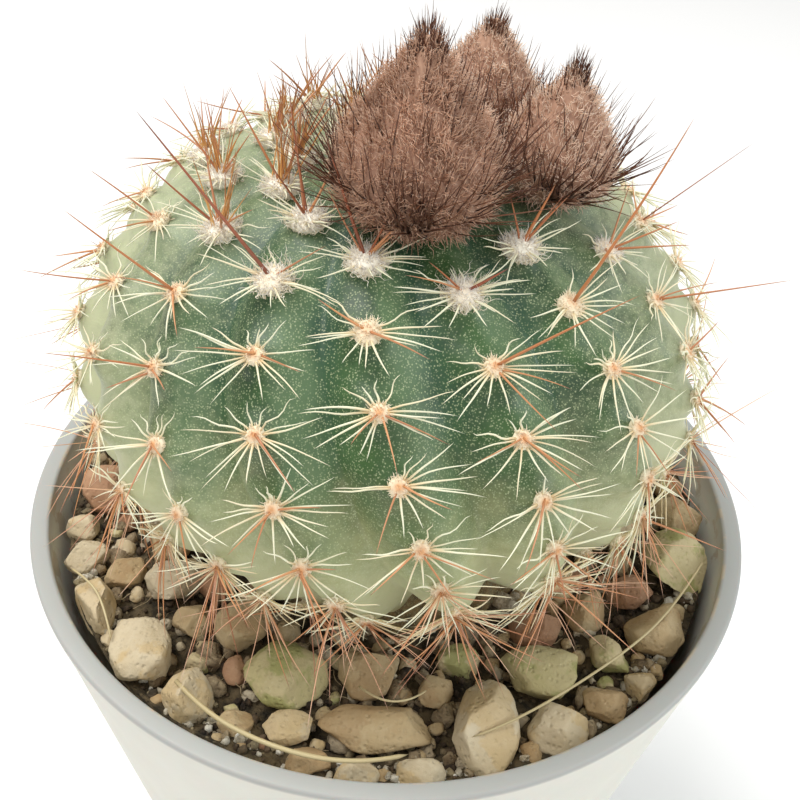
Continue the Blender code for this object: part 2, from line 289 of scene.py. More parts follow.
class Finish:
    """What all finishes share: each paints a new material."""

    def build(self, effects: Effects) -> Material:
        """Makes the material.

        Args:
            effects: the shared node groups.

        Returns:
            The material.
        """
        graph = Painter(self.name, effects)
        self.paint(graph)
        return graph.material


@dataclass(frozen=True)
class SkinFinish(Finish):
    """The stem's skin: deep green with pale flecks, blue-green above and yellow-green at the foot, with
    painted light on one flank of each rib, a painted reflection in the blue-green of the furrows, a painted
    pale haze at its edges and painted shade on the dark neck.
    """

    name: str = "cactus_skin"
    deep: Colour = (0.013, 0.040, 0.011)
    leaf: Colour = (0.050, 0.120, 0.026)
    # teal: the skin's blue-green, which also carries a painted reflection in the upper furrows
    teal: Colour = (0.026, 0.086, 0.050)
    # lit: the lighter green painted on one flank of each rib as painted light
    lit: Colour = (0.115, 0.190, 0.092)
    foot: Colour = (0.440, 0.455, 0.205)
    soil_line: Colour = (0.260, 0.170, 0.070)
    # the pale colour painted on the stem's edges as haze and glancing sheen (painted light)
    painted_edge_haze: Colour = (0.600, 0.610, 0.400)
    # bark: the neck's dark brown, partly corky bark and partly painted shade
    bark_and_painted_shade: Colour = (0.075, 0.050, 0.028)
    fleck: Colour = (0.50, 0.56, 0.33)
    centre: tuple[float, ...] = (0.0, 0.0, 0.06)
    radii: tuple[float, ...] = (0.02, 0.02, 0.015)

    def _edge(self, graph: Painter) -> Socket:
        """How far the plain globe under the ribs turns away from the viewer, from 0 to 1: where the pale
        haze is painted on the edges.
        """
        reach = graph.node("ShaderNodeVectorMath", {0: graph.place(), 1: self.centre}, operation="SUBTRACT")
        shrink = tuple(1.0 / (size * size) for size in self.radii)
        out = graph.node("ShaderNodeVectorMath", {0: reach.outputs[0], 1: shrink}, operation="MULTIPLY")
        out = graph.node("ShaderNodeVectorMath", {0: out.outputs[0]}, operation="NORMALIZE").outputs[0]
        return graph.node("ShaderNodeLayerWeight", {"Blend": 0.5, "Normal": out}).outputs["Facing"]

    def paint(self, graph: Painter) -> None:
        """Paints the skin, from the foot to the crown."""
        patch = graph.mottle(260.0, 0.6)
        fine = graph.mottle(1400.0, 0.5)
        rise = graph.attribute("rise")
        green = graph.mix(patch, self.deep, self.leaf)
        green = graph.mix(graph.times(fine, 0.35), green, self.leaf)
        furrow = graph.attribute("furrow")
        # the blue-green of the upper body, strongest in the furrows: partly the skin's own tone, partly a
        # painted reflection of cool light
        teal_tint_and_reflection = graph.times(
            graph.remap(rise, 0.35, 0.75), graph.remap(furrow, 0.15, 0.8, 0.15, 0.7)
        )
        green = graph.mix(teal_tint_and_reflection, green, self.teal)
        # painted light: one flank of each rib, varied by the patches, is painted lighter as if lit from that
        # side, less near the crown
        flank = graph.math("MULTIPLY_ADD", patch, 0.5, graph.attribute("flank"))
        flank = graph.times(graph.remap(flank, 0.35, 1.25), graph.remap(rise, 0.88, 0.70))
        green = graph.mix(graph.times(flank, 0.75), green, self.lit)
        low = graph.math("ADD", rise, graph.math("MULTIPLY_ADD", patch, 0.12, -0.06))
        pale = graph.remap(low, 0.20, 0.56, 1.0, 0.0)
        green = graph.mix(graph.times(pale, 0.92), green, self.foot)
        green = graph.mix(graph.remap(low, 0.04, 0.20, 1.0, 0.0), green, self.soil_line)
        # painted light: a pale haze and glancing sheen painted where the globe turns away from the viewer,
        # less near the soil and the crown
        painted_edge_haze = graph.math("MULTIPLY_ADD", fine, 0.22, self._edge(graph))
        painted_edge_haze = graph.times(graph.remap(painted_edge_haze, 0.25, 1.08, 0.0, 0.78), graph.remap(rise, 0.03, 0.15))
        painted_edge_haze = graph.times(painted_edge_haze, graph.remap(rise, 0.60, 0.88, 1.0, 0.5))
        green = graph.mix(painted_edge_haze, green, self.painted_edge_haze)
        # the neck under the globe: partly corky bark, partly painted shade under the overhanging globe
        neck_bark_and_shade = graph.remap(graph.math("MULTIPLY_ADD", fine, 0.05, rise), 0.02, 0.075, 1.0, 0.0)
        green = graph.mix(neck_bark_and_shade, green, graph.mix(fine, self.bark_and_painted_shade, self.soil_line))
        dots = graph.speckle(7400.0, 0.42, 0.85)
        big = graph.speckle(3600.0, 0.22, 0.45)
        flecks = graph.times(graph.math("MAXIMUM", dots, big), 0.75)
        rough = graph.math("MULTIPLY_ADD", fine, 0.16, 0.36)
        graph.set(base_color=graph.mix(flecks, green, self.fleck), roughness=rough)
        height = graph.grain(2600.0, 0.35)
        height = graph.math("MULTIPLY_ADD", flecks, 0.5, height)
        graph.bump(height, 0.35, 0.00006)
        graph.set(sheen_weight=0.10, sheen_roughness=0.40, sheen_tint=(0.92, 0.95, 0.78))
        graph.set(subsurface_weight=0.12, subsurface_radius=(0.6, 1.0, 0.3), subsurface_scale=0.0012)


@dataclass(frozen=True)
class FibreFinish(Finish):
    """A spine, hair or bristle: coloured along its length, each one a little different."""

    name: str
    root: Colour
    middle: Colour
    tip: Colour
    other: Colour
    difference: float = 0.5
    roughness: float = 0.45
    sheen: float = 0.0
    tip_starts: float = 0.75
    see_through: float = 0.0

    def paint(self, graph: Painter) -> None:
        """Paints the fibre along its length."""
        stops = ((0.0, self.root), (0.35, self.middle), (self.tip_starts, self.middle), (1.0, self.tip))
        colour = graph.ramp(graph.attribute("along"), stops)
        tint = graph.attribute("tint")
        colour = graph.mix(graph.times(tint, self.difference), colour, self.other)
        rough = graph.mottle(3000.0, 0.4)
        shade = graph.math("MULTIPLY_ADD", rough, 0.3, self.roughness - 0.15)
        graph.set(base_color=colour, roughness=shade, sheen_weight=self.sheen)
        if self.see_through:
            depth = {"subsurface_radius": (1.0, 0.7, 0.45), "subsurface_scale": 0.0004}
            graph.set(subsurface_weight=self.see_through, **depth)


@dataclass(frozen=True)
class StoneFinish(Finish):
    """A stone of the gravel: a base colour, a second one in patches, a stain and mineral flecks."""

    slot: Stone
    base: Colour
    patch: Colour
    stain: Colour
    fleck: Colour
    stain_share: float = 0.4
    roughness: float = 0.8
    dirt: Colour = (0.06, 0.042, 0.026)

    @property
    def name(self) -> str:
        """The kind of stone."""
        return self.slot.value

    def paint(self, graph: Painter) -> None:
        """Paints the stone, with dirt where it is sunk."""
        wide = graph.mottle(330.0, 0.7)
        small = graph.mottle(1500.0, 0.6)
        colour = graph.mix(wide, self.base, self.patch)
        colour = graph.mix(graph.times(small, 0.35), colour, self.base)
        spot = graph.mottle(190.0, 1.0)
        spot = graph.remap(spot, 0.54, 0.80)
        colour = graph.mix(graph.times(spot, self.stain_share), colour, self.stain)
        own = graph.math("MULTIPLY_ADD", graph.attribute("tint"), 0.34, -0.1)
        colour = graph.mix(graph.node("ShaderNodeClamp", {0: own}).outputs[0], colour, self.stain)
        flecks = graph.speckle(2200.0, 0.3, 0.3)
        colour = graph.mix(graph.times(flecks, 0.18), colour, self.fleck)
        sunk = graph.times(graph.remap(graph.attribute("sunk"), 0.2, 0.75), 0.8)
        colour = graph.mix(sunk, colour, self.dirt)
        rough = graph.math("MULTIPLY_ADD", small, 0.2, self.roughness - 0.1)
        graph.set(base_color=colour, roughness=rough)
        height = graph.grain(1300.0, 0.5)
        graph.bump(height, 0.8, 0.0002)


@dataclass(frozen=True)
class SoilFinish(Finish):
    """Moist potting soil, or its crumbs: near black with brown and a few pale grains."""

    name: str = "potting_soil"
    dark: Colour = (0.022, 0.016, 0.007)
    brown: Colour = (0.120, 0.086, 0.042)
    pale: Colour = (0.38, 0.31, 0.18)
    roughness: float = 0.92

    def paint(self, graph: Painter) -> None:
        """Paints the soil."""
        patch = graph.mottle(700.0, 0.9)
        colour = graph.mix(patch, self.dark, self.brown)
        tint = graph.remap(graph.attribute("tint"), 0.55, 1.0)
        colour = graph.mix(graph.times(tint, 0.75), colour, self.pale)
        flecks = graph.speckle(1900.0, 0.28, 0.22)
        colour = graph.mix(graph.times(flecks, 0.6), colour, self.pale)
        rough = graph.math("MULTIPLY_ADD", patch, -0.15, self.roughness)
        graph.set(base_color=colour, roughness=rough)
        height = graph.grain(1500.0, 0.6)
        graph.bump(height, 0.9, 0.0003)


@dataclass(frozen=True)
class PlasticFinish(Finish):
    """The pot's moulded plastic: creamy white wall, a lip top painted grey as painted shade, light dust and
    scuffs.
    """

    name: str = "pot_plastic"
    wall: Colour = (0.70, 0.69, 0.615)
    # the grey painted on the lip's top as painted shade, also used faintly for the wall's patches
    lip_shade_and_mottle: Colour = (0.36, 0.37, 0.362)
    dust: Colour = (0.52, 0.46, 0.36)

    def paint(self, graph: Painter) -> None:
        """Paints the wall and the lip."""
        patch = graph.mottle(120.0, 0.3)
        # painted shade: the lip's flat top is painted grey; the same grey tints the wall's faint patches
        colour = graph.mix(graph.times(graph.attribute("lip"), 0.9), self.wall, self.lip_shade_and_mottle)
        colour = graph.mix(graph.times(patch, 0.08), colour, self.lip_shade_and_mottle)
        grime = graph.mottle(420.0, 1.0)
        grime = graph.times(graph.remap(grime, 0.6, 0.95), graph.attribute("soiled"))
        colour = graph.mix(grime, colour, self.dust)
        specks = graph.speckle(520.0, 0.10, 0.25)
        colour = graph.mix(graph.times(specks, 0.15), colour, self.dust)
        graph.set(base_color=colour, roughness=graph.math("MULTIPLY_ADD", patch, 0.18, 0.42))
        height = graph.grain(900.0, 0.15)
        graph.bump(height, 0.12, 0.00008)
        graph.set(subsurface_weight=0.15, subsurface_scale=0.001)


@dataclass(frozen=True)
class FloorFinish(Finish):
    """A plain pale floor with hardly any unevenness."""

    name: str = "floor_paper"
    light: Colour = (0.93, 0.93, 0.93)
    shade: Colour = (0.90, 0.90, 0.90)

    def paint(self, graph: Painter) -> None:
        """Paints the floor."""
        patch = graph.mottle(6.0, 0.2)
        graph.set(base_color=graph.mix(patch, self.light, self.shade), roughness=0.9)


# ---------------------------------------------------------------- meshes


def unit(vectors: Array) -> Array:
    """Each vector of the last axis at length 1."""
    return vectors / np.maximum(np.linalg.norm(vectors, axis=-1, keepdims=True), 1e-12)


def make_mesh(
    name: str, points: Array, faces: list[Array], values: dict[str, Array] | None = None
) -> bpy.types.Mesh:
    """Makes a smooth-shaded mesh.

    Args:
        name: the mesh's name.
        points: its vertices.
        faces: one array of vertex indices for each count of corners.
        values: what each vertex stores for the shaders, by name.

    Returns:
        The mesh.
    """
    mesh = bpy.data.meshes.new(name)
    mesh.vertices.add(len(points))
    mesh.vertices.foreach_set("co", points.astype(np.float32).ravel())
    corners = np.concatenate([block.ravel() for block in faces])
    counts = np.concatenate([np.full(len(block), block.shape[1]) for block in faces])
    mesh.loops.add(len(corners))
    mesh.loops.foreach_set("vertex_index", corners.astype(np.int32))
    mesh.polygons.add(len(counts))
    mesh.polygons.foreach_set("loop_start", (np.cumsum(counts) - counts).astype(np.int32))
    mesh.update(calc_edges=True)
    mesh.validate()
    store(mesh, values or {})
    return mesh


def store(mesh: bpy.types.Mesh, values: dict[str, Array]) -> None:
    """Shades a mesh smooth and stores values at its vertices, by name."""
    for label, numbers in values.items():
        layer = mesh.attributes.new(label, "FLOAT", "POINT")
        layer.data.foreach_set("value", np.asarray(numbers, np.float32))
    mesh.shade_smooth()


def add_piece(
    name: str, mesh: bpy.types.Mesh, material: Material, nodes: tuple[str, ...] = ()
) -> bpy.types.Object:
    """Puts a piece into the scene, on its body.

    Args:
        name: the piece's name.
        mesh: its mesh, in the frame's metres.
        material: its finish.
        nodes: the nodes that it stands for.

    Returns:
        The piece.
    """
    piece = bpy.data.objects.new(name, mesh)
    mesh.materials.append(material)
    bpy.context.scene.collection.objects.link(piece)
    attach(piece, BODY)
    if nodes:
        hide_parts(*nodes)
    LOG.info("%s: %d faces", name, len(mesh.polygons))
    return piece


def grid_faces(rows: int, columns: int) -> Array:
    """The quads of a grid of vertices that runs round in its columns."""
    row, column = np.meshgrid(np.arange(rows - 1), np.arange(columns), indexing="ij")
    low, high = row * columns, (row + 1) * columns
    after = (column + 1) % columns
    corners = (low + column, low + after, high + after, high + column)
    return np.stack([corner.ravel() for corner in corners], 1)


def closed_mesh(
    name: str,
    rings: Array,
    ends: Array,
    values: dict[str, tuple[Array, tuple[float, float]]],
    downward: bool = False,
) -> bpy.types.Mesh:
    """Makes a closed mesh from rings of vertices, with a fan of triangles at each end.

    Args:
        name: the mesh's name.
        rings: the vertices, by ring and by place round it.
        ends: the points in the middle of the first and the last fan.
        values: what each ring's vertices store, and what the two end points store, by name.
        downward: whether the rings run the other way along the axis that they turn about.

    Returns:
        The mesh.
    """
    rows, columns = rings.shape[:2]
    count, last = rows * columns, (rows - 1) * columns
    index = np.arange(columns)
    after = (index + 1) % columns
    faces = [
        grid_faces(rows, columns),
        np.stack([after, index, np.full(columns, count)], 1),
        np.stack([last + index, last + after, np.full(columns, count + 1)], 1),
    ]
    if downward:
        faces = [block[:, ::-1] for block in faces]
    stored = {
        label: np.concatenate([np.broadcast_to(inner, (rows, columns)).ravel(), outer])
        for label, (inner, outer) in values.items()
    }
    return make_mesh(name, np.concatenate([rings.reshape(-1, 3), ends]), faces, stored)


def make_ball(detail: int) -> tuple[Array, Array]:
    """The points and triangles of a ball of radius 1, divided so finely."""
    bm = bmesh.new()
    bmesh.ops.create_icosphere(bm, subdivisions=detail, radius=1.0)
    points = np.array([vertex.co[:] for vertex in bm.verts])
    faces = np.array([[vertex.index for vertex in face.verts] for face in bm.faces])
    bm.free()
    return points, faces


@dataclass
class Fibres:
    """A bundle of tapered, curved fibres that becomes one mesh."""

    rings: int = 7
    sides: int = 4
    taper: float = 0.75
    parts: list[dict[str, Array]] = field(default_factory=list)

    def add(
        self,
        root: Array,
        direction: Array,
        length: Array,
        radius: Array,
        bend: Array | None = None,
        curl: Array | None = None,
        tint: Array | None = None,
    ) -> None:
        """Adds fibres.

        Args:
            root: where each starts.
            direction: where each points at its root.
            length: how long each is.
            radius: how thick each is at its root.
            bend: how far each tip is carried aside, as a share of its length.
            curl: how far each waves about its line, as a share of its length.
            tint: how much of the second colour each has.
        """
        count = len(root)
        self.parts.append(
            {
                "root": root,
                "direction": unit(direction),
                "length": np.broadcast_to(length, count),
                "radius": np.broadcast_to(radius, count),
                "bend": np.zeros((count, 3)) if bend is None else bend,
                "curl": np.zeros(count) if curl is None else np.broadcast_to(curl, count),
                "tint": np.zeros(count) if tint is None else np.broadcast_to(tint, count),
            }
        )

    def mesh(self, name: str, source: Rng) -> bpy.types.Mesh:
        """Builds the mesh of all fibres.

        Args:
            name: the mesh's name.
            source: where the waves' phases come from.

        Returns:
            The mesh, which stores along and tint for the shaders.
        """
        data = {key: np.concatenate([part[key] for part in self.parts]) for key in self.parts[0]}
        count, rings, sides = len(data["root"]), self.rings, self.sides
        along = np.linspace(0.0, 1.0, rings + 1)
        direction, length = data["direction"], data["length"][:, None, None]
        steep = np.abs(direction[:, 2:3]) > 0.8
        across = unit(np.cross(direction, np.where(steep, [[1.0, 0.0, 0.0]], [[0.0, 0.0, 1.0]])))
        other = np.cross(direction, across)
        line = data["root"][:, None] + direction[:, None] * length * along[None, :, None]
        line = line + data["bend"][:, None] * length * (along**2)[None, :, None]
        phase = source.uniform(0, 2 * math.pi, (count, 1))
        turns = source.uniform(0.8, 1.8, (count, 1)) * 2 * math.pi
        angle = phase + turns * along[None]
        sway = (data["curl"] * data["length"])[:, None] * np.minimum(1.0, along * 3)[None]
        start = np.stack([np.cos(phase), np.sin(phase)])
        line = line + across[:, None] * (sway * (np.cos(angle) - start[0]))[..., None]
        line = line + other[:, None] * (sway * (np.sin(angle) - start[1]))[..., None]
        tangent = unit(np.gradient(line, axis=1))
        first = unit(across[:, None] - (across[:, None] * tangent).sum(-1, keepdims=True) * tangent)
        second = np.cross(tangent, first)
        thick = data["radius"][:, None] * (1.0 - along[None, :rings] * 0.98) ** self.taper
        turn = 2 * math.pi * np.arange(sides) / sides
        spoke = first[:, :rings, None] * np.cos(turn)[:, None]
        spoke = spoke + second[:, :rings, None] * np.sin(turn)[:, None]
        skin = line[:, :rings, None] + spoke * thick[..., None, None]
        points = np.concatenate([skin.reshape(-1, 3), line[:, -1]])
        side = np.arange(sides)
        after = (side + 1) % sides
        ring = np.arange(rings - 1)[:, None] * sides
        corners = (ring + side, ring + after, ring + sides + after, ring + sides + side)
        quads = np.stack(corners, -1).reshape(-1, 4)
        base = (np.arange(count) * rings * sides)[:, None, None]
        quads = (base + quads[None]).reshape(-1, 4)
        last = (rings - 1) * sides
        tips = (count * rings * sides + np.arange(count))[:, None]
        ends = np.stack(
            [base[:, 0] + last + side, base[:, 0] + last + after, np.broadcast_to(tips, (count, sides))], -1
        ).reshape(-1, 3)
        feet = base[:, 0] + side[::-1]
        share = np.concatenate([np.tile(np.repeat(along[:rings], sides), count), np.ones(count)])
        tint = np.concatenate([np.repeat(data["tint"], rings * sides), data["tint"]])
        return make_mesh(name, points, [quads, ends, feet], {"along": share, "tint": tint})

    def place(self, name: str, source: Rng, material: Material, slot: str) -> None:
        """Builds the mesh and puts it into the scene."""
        add_piece(name, self.mesh(name, source), material)


# ---------------------------------------------------------------- the plant


@dataclass
class Stem:
    """The flattened, ribbed globe and its root stock."""

    radius: float = 21.2 * MM
    half_height: float = 15.4 * MM
    middle: float = 14.1 * MM  # above the pot's rim
    offset: float = -0.5 * MM
    ribs: int = 16
    rib_depth: float = 1.85 * MM
    lean_mean: float = 0.27
    lean_swing: float = 0.22
    lean_latitude: float = math.radians(30)
    lowest: float = math.radians(-54)
    crown_dimple: float = 1.6 * MM
    crown_width: float = math.radians(22)
    neck_radius: float = 12.2 * MM
    root_radius: float = 8.7 * MM
    step: float = math.radians(13.6)
    row_starts: tuple[float, ...] = (
        0.45, 0.95, 0.40, 0.65, 0.20, 0.75, 0.10, 0.60, 0.15, 0.70, 0.20, 0.65, 0.90, 0.35, 0.05, 0.85,
    )
    swell: float = 0.62 * MM
    across: int = 28
    rings: int = 190
    rim: float = field(init=False)

    def __post_init__(self) -> None:
        """Reads the rim's height from the frame."""
        self.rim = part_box("pot")[1].z

    def azimuth(self, rib: Array, latitude: Array) -> Array:
        """The azimuth of a rib at a latitude: ribs lean as they run from the crown to the root."""
        middle = 2 * math.pi * rib / self.ribs
        return middle + (self.lean_mean - self.lean_swing * np.sin(middle)) * (self.lean_latitude - latitude)

    def skin(self, rib: Array, latitude: Array) -> Array:
        """Points of the skin.

        Args:
            rib: the place round the stem in ribs. A whole number is a crest.
            latitude: the place up the stem, in radians.

        Returns:
            The points.
        """
        rib, latitude = np.broadcast_arrays(np.asarray(rib, float), np.asarray(latitude, float))
        azimuth = self.azimuth(rib, latitude)
        bow = np.abs(np.cos(np.pi * rib))
        crest = bow**1.3
        fade = np.clip(np.cos(latitude), 0, None) ** 0.5
        start = np.asarray(self.row_starts)[np.round(rib).astype(int) % self.ribs]
        row = (latitude / self.step - start + 0.08) * 2 * np.pi
        chin = (0.5 + 0.5 * np.cos(row)) ** 1.4
        swell = self.swell * bow**2.2 * fade * (chin - 0.25)
        radius = self.radius * np.cos(latitude) - self.rib_depth * fade * (1 - crest) + swell
        over = (np.pi / 2 - latitude) / self.crown_width
        height = self.rim + self.middle + self.half_height * np.sin(latitude)
        height = height - self.crown_dimple * np.exp(-(over**2)) + swell * 0.5 * np.sin(latitude)
        wave = 0.10 * MM * np.sin(azimuth * 5 + latitude * 9) * np.sin(latitude * 7 + azimuth * 3) * fade
        radius = radius + wave
        return np.stack([self.offset + radius * np.sin(azimuth), -radius * np.cos(azimuth), height], -1)

    def frame_at(self, rib: Array, latitude: Array) -> tuple[Array, ...]:
        """Where the skin is and how it faces.

        Args:
            rib: the place round the stem.
            latitude: the place up the stem.

        Returns:
            The points, outward normals, directions towards the crown and directions to the right.
        """
        tiny = 1e-3
        here = self.skin(rib, latitude)
        up = unit(self.skin(rib, latitude + tiny) - self.skin(rib, latitude - tiny))
        right = unit(self.skin(rib + tiny, latitude) - self.skin(rib - tiny, latitude))
        out = unit(np.cross(right, up))
        return here, out, up, np.cross(up, out)

    def build(self, material: Material) -> bpy.types.Object:
        """Builds the stem.

        Args:
            material: the skin's finish.

        Returns:
            The piece.
        """
        columns = self.ribs * self.across
        rib = np.arange(columns) / self.across
        top = math.radians(89.2)
        latitude = np.linspace(self.lowest, top, self.rings)
        body = self.skin(rib[None], latitude[:, None])
        azimuth = self.azimuth(rib, np.full(columns, self.lowest))
        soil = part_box("soil")[1].z
        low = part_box("cactus_stem")[0].z
        spread = np.stack([np.sin(azimuth), -np.cos(azimuth), np.zeros(columns)], -1)
        under = []
        for radius, height in ((self.root_radius, low), (self.neck_radius, soil - 0.6 * MM)):
            under.append(spread * radius + [0, 0, height])
        for share in (0.25, 0.5, 0.75):
            ease = share * share * (3 - 2 * share)
            under.append(under[1] * (1 - ease) + body[0] * ease)
        rise = np.concatenate([np.zeros(len(under)), np.linspace(0, 1, self.rings)])
        poles = np.array([[0, 0, low], body[-1].mean(0)])
        values = {
            "rise": (rise[:, None], (0, 1)),
            "furrow": (1 - np.abs(np.cos(np.pi * rib)), (0, 0)),
            # painted light: the side of each rib that the skin paints lighter
            "flank": (np.sin(2 * np.pi * rib), (0, 0)),
        }
        mesh = closed_mesh("stem_skin", np.concatenate([np.stack(under), body]), poles, values)
        return add_piece("stem_skin", mesh, material, ("cactus_stem",))


@dataclass
class Bud:
    """One woolly bud: a closed body under matted wool, with long stiff bristles and a brush at its tip."""

    node: str
    seed: int
    wool: int = 9000
    tufts: int = 420
    fan: int = 120
    wool_length: float = 0.95 * MM
    bristle_length: float = 4.6 * MM
    core_share: float = 0.88
    core_length: float = 0.94
    wool_finish: str = "bud_wool"
    steps: int = 64
    rings: int = 48

    def __post_init__(self) -> None:
        """Reads the bud's foot, tip and width from its node."""
        vertices = np.array([vertex.co[:] for vertex in frame["nodes"][self.node].data.vertices])
        height = vertices[:, 2]
        self.tip = vertices[height.argmax()]
        self.foot = vertices[height < height.min() + 0.25 * MM].mean(0)
        self.axis = unit(self.tip - self.foot)
        self.foot = self.foot - self.axis * 0.5 * MM
        self.length = float(np.linalg.norm(self.tip - self.foot)) * self.core_length
        reach = vertices - self.foot
        aside = reach - (reach @ self.axis)[:, None] * self.axis
        self.width = float(np.linalg.norm(aside, axis=1).max())
        self.side = unit(np.cross(self.axis, [0.0, 1.0, 0.0]))
        self.back = np.cross(self.axis, self.side)

    def outline(self, share: Array) -> Array:
        """The bud's radius from foot (0) to tip (1), as a share of its widest."""
        share = np.clip(share, 0.001, 0.999)
        narrowing = 1 - 0.20 * np.clip((share - 0.45) / 0.5, 0, 1) ** 1.2
        return 1.16 * np.sin(np.pi * share**0.62) ** 0.72 * (1 - 0.35 * share) * narrowing

    def surface(self, share: Array, turn: Array, scale: float) -> Array:
        """Points round the bud's axis at a share of its outline."""
        radius = self.width * self.outline(share) * scale
        spoke = np.cos(turn)[..., None] * self.side + np.sin(turn)[..., None] * self.back
        return self.foot + self.axis * (share * self.length)[..., None] + spoke * radius[..., None]

    def facing(self, share: Array, turn: Array) -> Array:
        """The way that the bud's skin faces there."""
        out = unit(np.cos(turn)[:, None] * self.side + np.sin(turn)[:, None] * self.back)
        slope = (self.outline(share + 0.01) - self.outline(share - 0.01)) / 0.02 * self.width / self.length
        return unit(out - self.axis * np.clip(slope, -3, 3)[:, None])

    def build(self, finishes: Finishes) -> None:
        """Builds the body, the wool and the bristles.

        Args:
            finishes: the materials by name.
        """
        source = np.random.default_rng(self.seed)
        share = np.linspace(0.012, 0.985, self.rings)
        turn = 2 * math.pi * np.arange(self.steps) / self.steps
        lumps = 1 + 0.05 * np.sin(5 * turn + 9 * share[:, None]) * np.sin(14 * share[:, None] + 2 * turn)
        points = self.surface(share[:, None], turn[None] + 0 * share[:, None], self.core_share)
        centre = (self.foot + self.axis * (share * self.length)[:, None])[:, None]
        points = centre + (points - centre) * lumps[..., None]
        ends = np.stack([self.foot, self.foot + self.axis * self.length * 0.99])
        values = {
            "along": (share[:, None], (0, 1)),
            "tint": (source.uniform(0, 1, (self.rings, self.steps)), (0, 0)),
        }
        body = closed_mesh(f"{self.node}_body", points, ends, values, downward=True)
        add_piece(f"{self.node}_body", body, finishes["bud_core"], (self.node,))
        self._add_wool(source, finishes)
        self._add_bristles(source, finishes)

    def _places(self, source: Rng, count: int, low: float, high: float) -> tuple[Array, ...]:
        """Random shares of the length and turns, as many to a patch of skin everywhere."""
        tries = source.uniform(low, high, count * 5)
        kept = tries[source.uniform(0, 1.05, count * 5) < self.outline(tries)][:count]
        return kept, source.uniform(0, 2 * math.pi, len(kept))

    def _add_wool(self, source: Rng, finishes: Finishes) -> None:
        """Adds the wool, matted into small tufts."""
        share, turn = self._places(source, self.tufts, 0.02, 0.97)
        foot = self.surface(share, turn, self.core_share)
        lean = self.facing(share, turn) + self.axis * source.uniform(0.2, 1.0, len(share))[:, None]
        lean = unit(lean + source.normal(0, 0.35, (len(share), 3)))
        height = self.wool_length * source.uniform(0.7, 1.25, len(share)) * (1 - 0.45 * share)
        tip = foot + lean * height[:, None]
        shade = np.clip(source.normal(0.34, 0.22, len(share)), 0, 1)
        place, around = self._places(source, self.wool, 0.02, 0.975)
        root = self.surface(place, around, self.core_share * 0.97)
        nearest = np.array([np.argmin(((foot - spot) ** 2).sum(1)) for spot in root])
        pull = tip[nearest] - root
        count = len(root)
        direction = unit(pull) * 0.6 + self.axis * 0.45 + self.facing(place, around) * 0.25
        direction = direction + source.normal(0, 0.30, (count, 3))
        length = self.wool_length * source.uniform(0.75, 1.35, count) * (1 - 0.3 * place)
        blotch = np.exp(-(((place - 0.66) / 0.16) ** 2)) * (np.sin(around * 3) > 0)
        # painted shade: the wool darkens towards the bud's foot, where it meets the stem; the blotches are
        # the wool's own tone
        dark = 1.3 * np.clip(0.34 - place, 0, 1) + 0.35 * blotch
        tint = np.clip(shade[nearest] + dark + source.normal(0, 0.16, count), 0, 1)
        wool = Fibres(rings=4, sides=3, taper=0.4)
        wool.add(
            root, direction, length, 0.033 * MM, bend=source.normal(0, 0.22, (count, 3)),
            curl=source.uniform(0.02, 0.10, count), tint=tint,
        )
        wool.place(f"{self.node}_wool", source, finishes[self.wool_finish], "bud_wool")

    def _add_bristles(self, source: Rng, finishes: Finishes) -> None:
        """Adds the fan of bristles, shorter ones above, a thick cluster in front and the tip's brush."""
        bristles = Fibres(rings=8, sides=5, taper=0.62)
        rows = (
            # count, lowest, highest, out, up, length, thinnest, thickest, lightness
            (self.fan, 0.10, 0.30, 0.80, 0.85, 1.10, 0.036, 0.062, 0.1),
            (self.fan, 0.10, 0.36, 0.34, 1.00, 0.95, 0.032, 0.056, 0.1),
            (self.fan // 2, 0.34, 0.62, 0.30, 1.00, 0.66, 0.028, 0.046, 0.2),
            (self.fan // 3, 0.60, 0.90, 0.20, 1.00, 0.42, 0.026, 0.040, 0.3),
            (self.fan, 0.88, 0.985, 0.22, 1.00, 0.30, 0.024, 0.038, 0.4),
        )
        for number, low, high, out, up, reach, thin, thick, light in rows:
            share = source.uniform(low, high, number)
            turn = source.uniform(0, 2 * math.pi, number)
            direction = self.facing(share, turn) * out + self.axis * up + source.normal(0, 0.15, (number, 3))
            bristles.add(
                self.surface(share, turn, self.core_share), direction,
                self.bristle_length * reach * source.uniform(0.6, 1.15, number),
                source.uniform(thin, thick, number) * MM,
                bend=self.axis * source.uniform(-0.05, 0.25, (number, 1))
                + source.normal(0, 0.07, (number, 3)),
                tint=np.clip(source.uniform(-0.6, 0.35, number) + light * 0.6, 0, 1),
            )
        number = self.fan // 9
        front = math.atan2(float(-self.back[1]), float(-self.side[1]))
        share = source.uniform(0.12, 0.19, number)
        turn = front + source.normal(0.0, 0.13, number)
        direction = self.facing(share, turn) * 0.75 + self.axis + source.normal(0, 0.14, (number, 3))
        bristles.add(
            self.surface(share, turn, self.core_share), direction,
            self.bristle_length * source.uniform(0.7, 1.15, number),
            source.uniform(0.060, 0.095, number) * MM,
            bend=source.normal(0, 0.06, (number, 3)), tint=np.zeros(number),
        )
        bristles.place(f"{self.node}_bristles", source, finishes["bristle"], "bud_wool")


